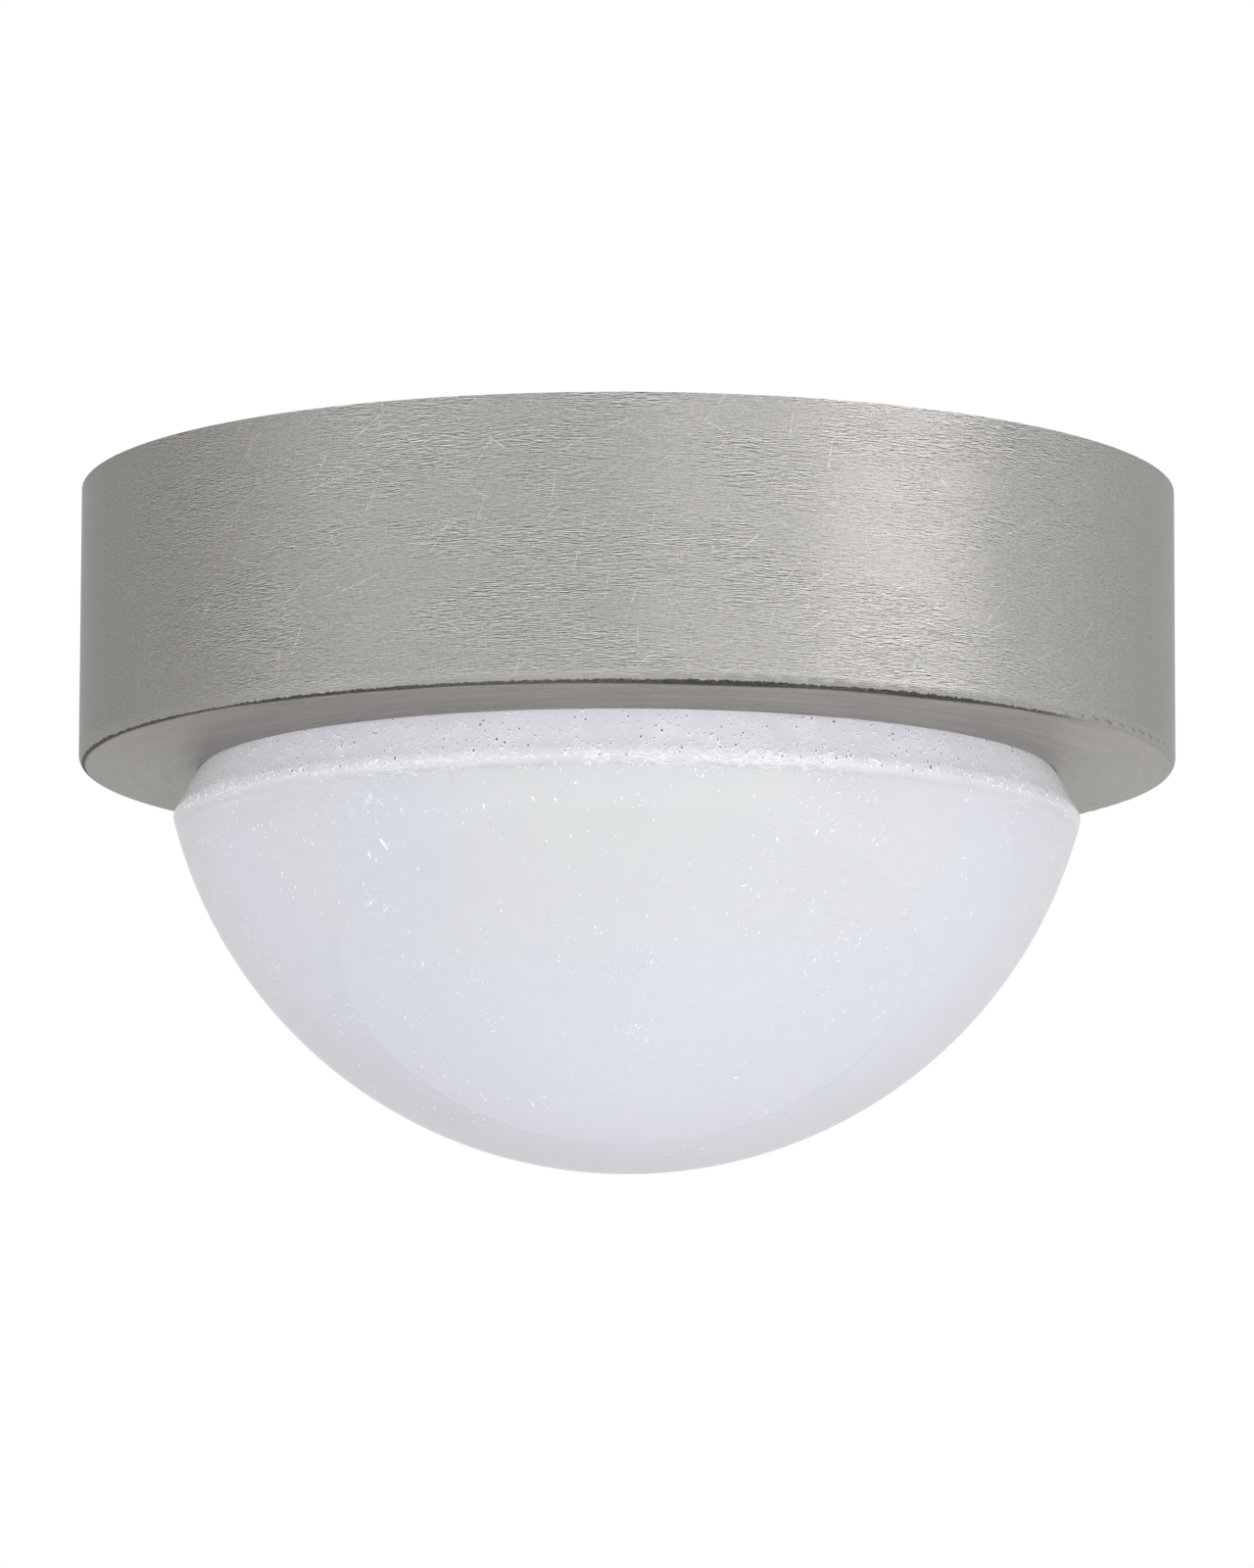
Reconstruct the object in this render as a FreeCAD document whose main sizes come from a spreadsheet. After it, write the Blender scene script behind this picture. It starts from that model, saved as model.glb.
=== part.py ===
import FreeCAD, Part
import math
import os
import re

import Sketcher

# A small flush ceiling light: a drawn metal ring that hides a pan, a driver and an LED board,
# under a seeded glass dome with a white liner. The dome hangs on three lugs and comes off with a twist.
#
# Millimetres. +Z is up and z = 0 is the ceiling, so the light hangs below it. The origin is the
# middle of the outlet box. "base" below means the plane of the ring's lower bend.

SIZES = {
    # drawn ring; its radius follows from its opening and what stands on its flange
    "opening_radius": 69.9,
    "housing_height": 45.5,
    "housing_sheet": 0.8,
    "housing_bend": 1.8,
    "flange_dip": 0.9,
    # welded studs that carry the pan
    "stud_count": 3,
    "stud_phase": 60.0,
    "stud_offset": 4.8,
    "stud_radius": 2.0,
    "stud_height": 8.0,
    "stud_clearance": 0.3,
    "nut_height": 3.2,
    "nut_across_corners": 8.08,
    # pan
    "pan_sheet": 0.8,
    "pan_depth": 24.0,
    "pan_bend": 2.0,
    "lip_width": 10.0,
    "lip_gap": 2.2,
    # bayonet: a ledge in the pan, lugs on the glass
    "ledge_height": 6.0,
    "ledge_clearance": 0.6,
    "ledge_width": 6.3,
    "ledge_rim": 5.2,
    "bayonet_sheet": 0.8,
    "lug_count": 3,
    "lug_angle": 14.0,
    "lug_phase": 90.0,
    "lug_reach": 2.0,
    "lug_gap": 0.1,
    "notch_margin": 2.0,
    "notch_clearance": 0.6,
    "twist_angle": 25.0,
    "stop_height": 1.6,
    "stop_angle": 2.0,
    "stop_gap_angle": 0.4,
    "stop_reach": 3.6,
    "rivet_radius": 1.6,
    "rivet_head_radius": 2.4,
    "rivet_head": 1.0,
    # glass dome
    "dome_depth": 58.2,
    "crease_drop": 7.0,
    "crease_overhang": 4.35,
    "crease_round": 1.2,
    "glass_wall": 2.6,
    "collar_clearance": 0.6,
    "neck_step": 3.1,
    "neck_top": 13.0,
    # metal ring bonded over the glass neck
    "fitter_sheet": 0.8,
    "fitter_inner_depth": 5.0,
    "sealant_gap": 0.3,
    # white liner in the dome
    "liner_wall": 1.5,
    "liner_gap": 0.4,
    "liner_drop": 1.1,
    "liner_neck_gap": 1.5,
    "liner_neck_rise": 12.6,
    "liner_pad_count": 3,
    "liner_pad_height": 3.0,
    "liner_pad_angle": 7.0,
    "liner_pad_drop": 1.5,
    # LED board under the pan
    "board_radius": 41.0,
    "board_thick": 1.6,
    "board_hole": 8.0,
    "heat_pad_radius": 40.0,
    "heat_pad_thick": 0.5,
    "chip_length": 3.5,
    "chip_width": 2.8,
    "chip_height": 0.7,
    "outer_chips": 16,
    "outer_chip_phase": 11.25,
    "outer_chip_circle": 30.5,
    "inner_chips": 8,
    "inner_chip_phase": 22.5,
    "inner_chip_circle": 19.0,
    "board_screw_count": 4,
    "board_screw_circle": 36.5,
    "board_screw_phase": 180.0,
    "board_screw_step": 60.0,
    # small pan head screws
    "small_screw_radius": 1.5,
    "small_head_radius": 2.7,
    "small_head": 1.9,
    "screw_clearance": 0.2,
    "recess_width": 0.8,
    "recess_rim": 1.2,
    "recess_depth": 1.0,
    # push-in connector on the board
    "connector_length": 7.0,
    "connector_depth": 6.0,
    "connector_height": 5.5,
    "connector_centre": 13.0,
    # leads
    "thin_lead_radius": 0.65,
    "mains_lead_radius": 0.9,
    "lead_level": 7.0,
    "thin_lead_spread": 1.1,
    "thin_lead_bend": 4.0,
    "mains_lead_bend": 7.0,
    "earth_lead_bend": 6.0,
    "earth_lead_run": 7.4,
    "earth_lead_drop": 5.55,
    "lead_hole_gap": 0.2,
    # grommet in the pan floor
    "grommet_hole": 5.0,
    "grommet_flange": 7.0,
    "grommet_lip": 1.5,
    "grommet_bore": 2.2,
    # driver
    "driver_length": 66.0,
    "driver_width": 36.0,
    "driver_height": 13.6,
    "driver_wall": 1.4,
    "driver_centre": 32.0,
    "driver_cover_thick": 1.4,
    "driver_cover_lip": 2.0,
    "ear_length": 9.0,
    "ear_width": 10.0,
    "ear_thick": 2.0,
    "board_post": 2.2,
    "driver_board_thick": 1.6,
    "driver_board_gap": 0.4,
    "capacitor_radius": 4.0,
    "capacitor_height": 7.4,
    "capacitor_pitch": 10.0,
    "capacitor_inset": 13.0,
    "transformer_length": 15.0,
    "transformer_width": 13.0,
    "transformer_height": 7.2,
    "transformer_core": 4.0,
    "choke_radius": 4.6,
    "choke_bore": 2.0,
    "choke_height": 5.0,
    "choke_inset": 14.0,
    "driver_chip_height": 1.5,
    # terminal block
    "terminal_x": -6.0,
    "terminal_y": -34.0,
    "terminal_wall": 2.4,
    "terminal_width": 18.0,
    "terminal_height": 13.0,
    "pole_wall": 0.6,
    "clamp_radius": 2.6,
    "clamp_bore": 1.8,
    "clamp_length": 13.0,
    "clamp_web": 1.0,
    "clamp_screw_radius": 1.4,
    "clamp_screw_length": 4.2,
    "clamp_screw_offset": 3.8,
    "clamp_screw_well": 1.9,
    # driver input leads
    "line_exit": -8.0,
    "line_reach": 8.5,
    "neutral_exit": -2.0,
    "neutral_reach": 14.0,
    # earth joint on the pan floor
    "earth_x": -44.0,
    "earth_screw_radius": 2.0,
    "earth_head_radius": 3.8,
    "earth_head": 2.6,
    "earth_washer_radius": 3.9,
    "earth_washer_thick": 0.6,
    "lug_plate_thick": 0.8,
    "lug_plate_radius": 3.9,
    "lug_barrel_radius": 1.7,
    "lug_barrel_length": 6.0,
    "lug_barrel_start": 4.5,
    # strap on the outlet box
    "strap_end": 7.0,
    "strap_width": 16.0,
    "strap_thick": 1.5,
    "strap_round": 5.0,
    "strap_bore": 5.0,
    "box_screw_near": 69.85,
    "box_screw_far": 88.9,
    "slot_width": 5.2,
    "ground_x": -17.0,
    "ground_screw_radius": 2.4,
    "ground_head_across": 9.2,
    "ground_head": 3.6,
    # two long screws from the pan into the strap
    "lead_clearance": 2.02,
    "fixture_screw_radius": 2.08,
    "fixture_head_radius": 3.9,
    "fixture_head": 2.4,
    "fixture_tip_gap": 0.2,
    "thread_clearance": 0.05,
    "keyhole_slot": 2.4,
    "keyhole_round": 4.7,
    "keyhole_travel": 8.0,
}

# Sizes that follow from the driving ones. Heights are z, so they are negative below the ceiling.
FITS = {
    "base": "-housing_height",
    "mouth_radius": "opening_radius - collar_clearance",
    "neck_radius": "mouth_radius - neck_step",
    "fitter_outer": "neck_radius + sealant_gap + fitter_sheet",
    "ledge_radius": "fitter_outer + ledge_clearance",
    "pan_wall_inner": "ledge_radius + ledge_width",
    "pan_wall_radius": "pan_wall_inner + pan_sheet",
    "stud_circle": "pan_wall_radius + stud_offset",
    "lip_radius": "pan_wall_radius + lip_width",
    "housing_radius": "lip_radius + lip_gap + housing_bend",
    "flange_start": "housing_radius - housing_bend",
    "flange_slope": "flange_dip / (flange_start - opening_radius)",
    "stud_seat": "base + housing_sheet - flange_slope * (flange_start - stud_circle - stud_radius)",
    "lip_level": "base + housing_sheet",
    "pan_top": "base + pan_depth",
    "pan_under": "pan_top - pan_sheet",
    "pan_inner_bend": "pan_bend - pan_sheet",
    "ledge_bottom": "base + ledge_height",
    "ledge_top": "ledge_bottom + bayonet_sheet",
    "rivet_level": "ledge_top + ledge_rim / 2",
    "rivet_seat": "sqrt((pan_wall_inner - bayonet_sheet) ^ 2 - rivet_head_radius ^ 2)",
    "lug_bottom": "ledge_top + lug_gap",
    "lug_tip": "fitter_outer + lug_reach",
    "notch_radius": "lug_tip + notch_clearance",
    "notch_angle": "lug_angle + 2 * notch_margin",
    "crease_level": "base - crease_drop",
    "crease_radius": "mouth_radius + crease_overhang",
    "dome_bottom": "crease_level - dome_depth",
    "dome_radius": "(crease_radius ^ 2 + dome_depth ^ 2) / (2 * dome_depth)",
    "dome_centre": "dome_bottom + dome_radius",
    "dome_inner": "dome_radius - glass_wall",
    "crease_inner": "sqrt(dome_inner ^ 2 - (dome_centre - crease_level) ^ 2)",
    "mouth_level": "base - flange_dip",
    "collar_rise": "(mouth_level - crease_level) / (crease_radius - mouth_radius)",
    "neck_base": "crease_level + (crease_radius - neck_radius) * collar_rise",
    "neck_inner": "neck_radius - glass_wall",
    "neck_inner_base": "crease_level + (crease_inner - neck_inner) * collar_rise",
    "neck_level": "base + neck_top",
    "fitter_top": "neck_level + sealant_gap + fitter_sheet",
    "fitter_inner": "neck_inner - sealant_gap - fitter_sheet",
    "fitter_inner_bottom": "fitter_top - fitter_inner_depth",
    "liner_outer": "dome_inner - liner_gap",
    "liner_inner": "liner_outer - liner_wall",
    "liner_rim": "crease_level - liner_drop",
    "liner_rim_outer": "sqrt(liner_outer ^ 2 - (dome_centre - liner_rim) ^ 2)",
    "liner_shoulder": "liner_rim - liner_wall",
    "liner_shoulder_inner": "sqrt(liner_inner ^ 2 - (dome_centre - liner_shoulder) ^ 2)",
    "liner_neck_outer": "fitter_inner - liner_neck_gap",
    "liner_neck_inner": "liner_neck_outer - liner_wall",
    "liner_neck_top": "liner_rim + liner_neck_rise",
    "liner_pad_top": "liner_rim - liner_pad_drop",
    "liner_pad_bottom": "liner_pad_top - liner_pad_height",
    "heat_pad_under": "pan_under - heat_pad_thick",
    "board_under": "heat_pad_under - board_thick",
    "lead_height": "pan_top + lead_level",
    "board_lead_height": "board_under - connector_height + 2 * thin_lead_radius + lead_hole_gap",
    "driver_near": "driver_centre - driver_width / 2",
    "driver_end": "driver_length / 2",
    "capacitor_place": "driver_end - capacitor_inset",
    "choke_place": "driver_end - choke_inset",
    "driver_cover_level": "pan_top + driver_height",
    "driver_board_level": "pan_top + driver_wall + board_post",
    "driver_board_top": "driver_board_level + driver_board_thick",
    "terminal_left": "terminal_x - terminal_width / 2",
    "clamp_left": "terminal_x - clamp_length / 2",
    "terminal_pitch": "2 * (clamp_radius + small_screw_radius + pole_wall)",
    "terminal_length": "2 * (terminal_pitch + clamp_radius + terminal_wall)",
    "earth_y": "terminal_y - terminal_pitch",
    "line_y": "terminal_y + terminal_pitch",
    "lug_plate_level": "pan_top + earth_washer_thick",
    "lug_barrel_level": "lug_plate_level + lug_barrel_radius",
    "lug_barrel_x": "earth_x + lug_barrel_start",
    "neutral_edge": "driver_end + neutral_reach + mains_lead_radius",
    "fixture_circle": "neutral_edge + lead_clearance + fixture_screw_radius",
    "strap_length": "2 * (fixture_circle + strap_end)",
    "slot_place": "(box_screw_near + box_screw_far) / 4",
    "slot_reach": "(box_screw_far - box_screw_near) / 2 + slot_width",
    "fixture_screw_length": "-pan_under - fixture_tip_gap",
    "stud_step": "360 / stud_count",
    "lug_step": "360 / lug_count",
}

# Two sizes nearer than this are the same, when an edge is looked up by its size.
SAME_SIZE = 0.001

doc = FreeCAD.newDocument("flush_mount_light")


# ---- the sheet of sizes, and the ways that pieces are made from it ----

def make_sheet():
    """Put every driving size in the spreadsheet under its own name."""
    sheet = doc.addObject("Spreadsheet::Sheet", "Sizes")
    for row, (name, value) in enumerate(SIZES.items(), start=1):
        sheet.set(f"A{row}", name)
        sheet.set(f"B{row}", str(value))
        sheet.setAlias(f"B{row}", name)
    doc.recompute()
    return sheet


def expand(expression):
    """Spell out an expression: names that follow become their formulas, sizes name the sheet."""
    def spell(match):
        name = match.group(0)
        if name in FITS:
            return "(" + expand(FITS[name]) + ")"
        if name in SIZES:
            return "Sizes." + name
        return name
    return re.sub(r"[A-Za-z_]\w*", spell, str(expression))


def number(expression):
    """The value of an expression now."""
    return float(sizes.evalExpression(expand(expression)))


def bind(thing, **values):
    """Tie properties of an object to the sheet."""
    for name, expression in values.items():
        thing.setExpression(name, expand(expression))
    return thing


def place(thing, x="0", y="0", z="0", turn="0", axis=(0, 0, 1)):
    """Tie an object's placement to the sheet: a point, and a turn in degrees about an axis."""
    spot = f"vector({expand(x)}; {expand(y)}; {expand(z)})"
    spin = f"rotation(vector({axis[0]}; {axis[1]}; {axis[2]}); {expand(turn)})"
    thing.setExpression("Placement", f"placement({spot}; {spin})")
    return thing


def body_plane(body, role):
    """One of a body's own origin planes."""
    return [plane for plane in body.Origin.OriginFeatures if plane.Role == role][0]


def arc_between(start, end, radius, clockwise):
    """The short arc from start to end."""
    if clockwise:
        start, end = end, start
    chord = end - start
    middle = (start + end) * 0.5
    side = FreeCAD.Vector(-chord.y, chord.x, 0)
    side.normalize()
    centre = middle + side * math.sqrt(max(radius ** 2 - (chord.Length / 2) ** 2, 0.0))
    first = math.atan2(start.y - centre.y, start.x - centre.x)
    last = math.atan2(end.y - centre.y, end.x - centre.x)
    if last < first:
        last += 2 * math.pi
    circle = Part.Circle(centre, FreeCAD.Vector(0, 0, 1), radius)
    return Part.ArcOfCircle(circle, first, last)


def draw_outline(sketch, corners):
    """Close an outline through corners. A corner is (x, y), reached by a straight line, or
    (x, y, radius, "left" or "right"), reached by an arc that bends that way."""
    spots = [FreeCAD.Vector(number(corner[0]), number(corner[1]), 0) for corner in corners]
    first = sketch.GeometryCount
    begins = []
    ends = []
    for index, corner in enumerate(corners):
        before = spots[index - 1]
        here = spots[index]
        edge = first + index
        if len(corner) == 2:
            sketch.addGeometry(Part.LineSegment(before, here), False)
            begins.append((edge, 1))
            ends.append((edge, 2))
            continue
        clockwise = corner[3] == "right"
        sketch.addGeometry(arc_between(before, here, number(corner[2]), clockwise), False)
        begins.append((edge, 2 if clockwise else 1))
        ends.append((edge, 1 if clockwise else 2))
    for index, corner in enumerate(corners):
        following = begins[(index + 1) % len(corners)]
        sketch.addConstraint(Sketcher.Constraint("Coincident", *ends[index], *following))
        fix_point(sketch, ends[index], corner[0], corner[1])
        if len(corner) == 4:
            rule = Sketcher.Constraint("Radius", first + index, number(corner[2]))
            name_rule(sketch, rule, f"radius{first + index}", corner[2])


def name_rule(sketch, rule, name, expression):
    """Add a constraint under a name and tie its value to the sheet."""
    index = sketch.addConstraint(rule)
    sketch.renameConstraint(index, name)
    sketch.setExpression(f"Constraints.{name}", expand(expression))


def fix_point(sketch, point, x, y):
    """Tie a point of a sketch to its distances from the sketch's origin."""
    for kind, tag, value in (("DistanceX", "across", x), ("DistanceY", "up", y)):
        rule = Sketcher.Constraint(kind, -1, 1, *point, number(value))
        name_rule(sketch, rule, f"{tag}{point[0]}_{point[1]}", f"0 * housing_sheet + {value}")


def draw_circle(sketch, x, y, radius):
    """A circle tied to the sheet."""
    centre = FreeCAD.Vector(number(x), number(y), 0)
    circle = Part.Circle(centre, FreeCAD.Vector(0, 0, 1), number(radius))
    edge = sketch.addGeometry(circle, False)
    fix_point(sketch, (edge, 3), x, y)
    name_rule(sketch, Sketcher.Constraint("Radius", edge, number(radius)), f"radius{edge}", radius)


def add_sketch(body, role, level="0"):
    """A sketch on one of a body's planes, raised to a level."""
    sketch = body.newObject("Sketcher::SketchObject", "outline")
    sketch.AttachmentSupport = [(body_plane(body, role), "")]
    sketch.MapMode = "FlatFace"
    sketch.setExpression("AttachmentOffset.Base.z", expand(level))
    return sketch


def lathe(name, corners, sweep="360"):
    """A turned piece: an outline of (radius, z) corners turned about Z."""
    body = doc.addObject("PartDesign::Body", name)
    sketch = add_sketch(body, "XZ_Plane")
    draw_outline(sketch, corners)
    turned = body.newObject("PartDesign::Revolution", name + "_turned")
    turned.Profile = sketch
    turned.ReferenceAxis = (sketch, ["V_Axis"])
    turned.setExpression("Angle", expand(sweep))
    body.Tip = turned
    return body


def plate(name, level, thick, corners=(), circles=()):
    """A flat piece: outlines on the level plane, raised by thick."""
    body = doc.addObject("PartDesign::Body", name)
    sketch = add_sketch(body, "XY_Plane", level)
    if corners:
        draw_outline(sketch, corners)
    for circle in circles:
        draw_circle(sketch, *circle)
    pad = body.newObject("PartDesign::Pad", name + "_pad")
    pad.Profile = sketch
    pad.setExpression("Length", expand(thick))
    body.Tip = pad
    return body


def round_edges(body, radius, wanted):
    """Round the turned edges of a body whose circle's (radius, z) is wanted."""
    doc.recompute()
    names = []
    for index, edge in enumerate(body.Shape.Edges, start=1):
        if edge.Degenerated or not isinstance(edge.Curve, Part.Circle):
            continue
        for circle_radius, level in wanted:
            same_radius = abs(edge.Curve.Radius - number(circle_radius)) < SAME_SIZE
            if same_radius and abs(edge.Curve.Center.z - number(level)) < SAME_SIZE:
                names.append(f"Edge{index}")
    turned = body.Tip
    fillet = body.newObject("PartDesign::Fillet", body.Name + "_round")
    fillet.Base = (turned, names)
    fillet.setExpression("Radius", expand(radius))
    body.Tip = fillet
    return body


def rod(radius, length, x="0", y="0", z="0", along="z"):
    """A round bar that starts at a point and runs along an axis."""
    bar = bind(doc.addObject("Part::Cylinder", "rod"), Radius=radius, Height=length)
    axis = {"z": (0, 0, 1), "x": (0, 1, 0), "y": (-1, 0, 0)}[along]
    return place(bar, x, y, z, "0" if along == "z" else "90", axis)


def block(length, width, height, x="0", y="0", z="0"):
    """A box, centred on x and y, that stands on z."""
    box = bind(doc.addObject("Part::Box", "block"), Length=length, Width=width, Height=height)
    return place(box, f"{x} - ({length}) / 2", f"{y} - ({width}) / 2", z)


def sector(inner, outer, level, height, start, sweep):
    """A flat piece of ring, from a start angle through a sweep, both in degrees."""
    wedge = bind(doc.addObject("Part::Cylinder", "wedge"), Radius=outer, Height=height, Angle=sweep)
    place(wedge, z=level, turn=start)
    return cut("sector", wedge, [rod(inner, height, z=level)])


def cut(name, base, tools):
    """A base less its tools."""
    result = doc.addObject("Part::Cut", name)
    result.Base = base
    result.Tool = tools[0] if len(tools) == 1 else fuse(name + "_tools", tools)
    return result


def fuse(name, pieces):
    """Pieces joined into one."""
    result = doc.addObject("Part::MultiFuse", name)
    result.Shapes = pieces
    return result


def group(name, pieces):
    """Pieces that stay separate solids under one name."""
    result = doc.addObject("Part::Compound", name)
    result.Links = pieces
    return result


def copy(piece, **spot):
    """Another one of a piece at a place of its own."""
    link = doc.addObject("App::Link", piece.Name + "_copy")
    link.LinkedObject = piece
    return place(link, **spot)


def steps(count):
    """0 to count - 1, with the count read from the sheet."""
    return range(int(number(count)))


def ring_spots(count, circle, phase="0", step=None):
    """Places at equal steps on a circle, as (x, y, angle) expressions."""
    step = step or f"360 / {count}"
    spots = []
    for index in steps(count):
        angle = f"({phase} + {index} * {step})"
        spots.append((f"{circle} * cos({angle})", f"{circle} * sin({angle})", angle))
    return spots


def pan_head_screw(name, head_radius, head_height, shank_radius, shank_length):
    """A screw whose head stands on z = 0 and whose shank points down, with a cross recess."""
    blank = lathe(name + "_blank", [
        ("0", head_height),
        (f"{head_radius} - {head_height} / 2", head_height),
        (head_radius, f"{head_height} / 2", f"{head_height} / 2", "right"),
        (head_radius, "0"),
        (shank_radius, "0"),
        (shank_radius, f"-({shank_length})"),
        ("0", f"-({shank_length})"),
    ])
    reach = f"2 * ({head_radius} - recess_rim)"
    floor = f"{head_height} - recess_depth"
    recess = [block(reach, "recess_width", head_height, z=floor)]
    recess.append(block("recess_width", reach, head_height, z=floor))
    return cut(name, blank, recess)


def hexagon(name, across_corners, height, bore=None):
    """A hexagonal prism on z = 0, with or without a bore."""
    prism = bind(doc.addObject("Part::Prism", name), Circumradius=f"{across_corners} / 2", Height=height)
    prism.Polygon = 6
    if bore is None:
        return prism
    return cut(name + "_bored", prism, [rod(bore, height)])


# ---- the ring that shows ----

def make_housing_ring():
    """Drawn ring with a flange turned in below, dished a little towards the glass."""
    inner_bend = "housing_bend - housing_sheet"
    return lathe("housing_ring", [
        ("housing_radius", "0"),
        ("housing_radius", "base + housing_bend"),
        ("flange_start", "base", "housing_bend", "right"),
        ("opening_radius", "mouth_level"),
        ("opening_radius", "mouth_level + housing_sheet"),
        ("flange_start", "base + housing_sheet"),
        ("housing_radius - housing_sheet", "base + housing_bend", inner_bend, "left"),
        ("housing_radius - housing_sheet", "0"),
    ])


def make_studs():
    """Studs welded on the flange, and the nuts that hold the pan on them."""
    stud = rod("stud_radius", "stud_height")
    nut = hexagon("nut", "nut_across_corners", "nut_height", "stud_radius + thread_clearance")
    spots = ring_spots("stud_count", "stud_circle", "stud_phase")
    studs = [copy(stud, x=x, y=y, z="stud_seat") for x, y, angle in spots]
    nut_level = "lip_level + pan_sheet"
    nuts = [copy(nut, x=x, y=y, z=nut_level, turn=angle) for x, y, angle in spots]
    return group("weld_studs", studs), group("stud_nuts", nuts)


# ---- the pan and the bayonet ledge ----

def keyhole(side):
    """The cut of one keyhole: the screw rests in the slot, its head passes the round end."""
    across = f"{side} * fixture_circle"
    end = f"{side} * -keyhole_travel"
    deep = "3 * pan_sheet"
    level = "pan_under - pan_sheet"
    slot = block("2 * keyhole_slot", "keyhole_travel", deep, across, f"({end}) / 2", level)
    rest = rod("keyhole_slot", deep, across, "0", level)
    entry = rod("keyhole_round", deep, across, end, level)
    return fuse("keyhole", [slot, rest, entry])


def make_pan():
    """Hat-shaped pan: a lip on the studs, a wall, and a floor that carries the parts."""
    blank = lathe("pan_blank", [
        ("lip_radius", "lip_level"),
        ("lip_radius", "lip_level + pan_sheet"),
        ("pan_wall_radius + pan_inner_bend", "lip_level + pan_sheet"),
        ("pan_wall_radius", "lip_level + pan_bend", "pan_inner_bend", "right"),
        ("pan_wall_radius", "pan_top - pan_bend"),
        ("pan_wall_radius - pan_bend", "pan_top", "pan_bend", "left"),
        ("0", "pan_top"),
        ("0", "pan_under"),
        ("pan_wall_radius - pan_bend", "pan_under"),
        ("pan_wall_inner", "pan_top - pan_bend", "pan_inner_bend", "right"),
        ("pan_wall_inner", "lip_level + pan_bend"),
        ("pan_wall_radius + pan_inner_bend", "lip_level", "pan_bend", "left"),
    ])
    deep = "3 * pan_sheet"
    below = "pan_under - pan_sheet"
    tools = [keyhole(1), keyhole(-1), rod("grommet_hole", deep, z=below)]
    for x, y, angle in ring_spots("stud_count", "stud_circle", "stud_phase"):
        tools.append(rod("stud_radius + stud_clearance", deep, x, y, "lip_level - pan_sheet"))
    for x, y, angle in board_screw_spots():
        tools.append(rod("small_screw_radius", deep, x, y, below))
    for x, y in driver_screw_spots():
        tools.append(rod("small_screw_radius", deep, x, y, below))
    for x, y in terminal_screw_spots():
        tools.append(rod("small_screw_radius", deep, x, y, below))
    tools.append(rod("earth_screw_radius", deep, "earth_x", "earth_y", below))
    tools += rivet_holes()
    return cut("pan", blank, tools)


def rivet_holes():
    """Radial holes for the rivets through the pan's wall and the bayonet ring's rim."""
    start = "pan_wall_inner - 2 * pan_sheet"
    holes = []
    for index in steps("lug_count"):
        hole = rod("rivet_radius", "4 * pan_sheet", start, "0", "rivet_level", "x")
        wrap = group("rivet_hole", [hole])
        holes.append(place(wrap, turn=f"lug_phase - lug_step / 2 + {index} * lug_step"))
    return holes


def make_bayonet_ring():
    """Ledge with a notch for each lug, a rim against the pan's wall, and a stop beside each lug."""
    blank = lathe("bayonet_blank", [
        ("ledge_radius", "ledge_bottom"),
        ("pan_wall_inner", "ledge_bottom"),
        ("pan_wall_inner", "ledge_top + ledge_rim"),
        ("pan_wall_inner - bayonet_sheet", "ledge_top + ledge_rim"),
        ("pan_wall_inner - bayonet_sheet", "ledge_top"),
        ("ledge_radius", "ledge_top"),
    ])
    notch_inner = "ledge_radius - lug_reach"
    below = "ledge_bottom - bayonet_sheet"
    deep = "3 * bayonet_sheet"
    notches = []
    stops = []
    for index in steps("lug_count"):
        lug = f"lug_phase + {index} * lug_step"
        notch_start = f"{lug} - twist_angle - notch_angle / 2"
        notches.append(sector(notch_inner, "notch_radius", below, deep, notch_start, "notch_angle"))
        stop_start = f"{lug} + lug_angle / 2 + stop_gap_angle"
        stops.append(sector("ledge_radius", "ledge_radius + stop_reach", "ledge_top", "stop_height",
                            stop_start, "stop_angle"))
    notched = cut("bayonet_notched", blank, notches + rivet_holes())
    return fuse("bayonet_ring", [notched] + stops)


def make_bayonet_rivets():
    """Blind rivets that hold the bayonet ring to the pan's wall, with flat heads on the round wall."""
    pieces = []
    for index in steps("lug_count"):
        head = rod("rivet_head_radius", "rivet_head", "rivet_seat - rivet_head", "0", "rivet_level", "x")
        shank = rod("rivet_radius", "pan_wall_radius - rivet_seat", "rivet_seat", "0", "rivet_level", "x")
        tail = rod("rivet_head_radius", "rivet_head", "pan_wall_radius", "0", "rivet_level", "x")
        rivet = fuse("rivet", [head, shank, tail])
        pieces.append(place(rivet, turn=f"lug_phase - lug_step / 2 + {index} * lug_step"))
    return group("bayonet_rivets", pieces)


# ---- the shade that twists off ----

def make_glass_dome():
    """Spherical bowl with a creased shoulder, a tapered collar and a straight neck."""
    dome = lathe("glass_dome", [
        ("neck_radius", "neck_level"),
        ("neck_radius", "neck_base"),
        ("crease_radius", "crease_level"),
        ("0", "dome_bottom", "dome_radius", "right"),
        ("0", "dome_bottom + glass_wall"),
        ("crease_inner", "crease_level", "dome_inner", "left"),
        ("neck_inner", "neck_inner_base"),
        ("neck_inner", "neck_level"),
    ])
    creases = [("crease_radius", "crease_level"), ("crease_inner", "crease_level")]
    return round_edges(dome, "crease_round", creases)


def make_liner():
    """White bowl that nests in the glass and hides the LEDs, with a neck behind the clear collar."""
    return lathe("diffuser", [
        ("liner_neck_outer", "liner_neck_top"),
        ("liner_neck_outer", "liner_rim"),
        ("liner_rim_outer", "liner_rim"),
        ("0", "dome_centre - liner_outer", "liner_outer", "right"),
        ("0", "dome_centre - liner_inner"),
        ("liner_shoulder_inner", "liner_shoulder", "liner_inner", "left"),
        ("liner_neck_inner", "liner_shoulder"),
        ("liner_neck_inner", "liner_neck_top"),
    ])


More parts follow.
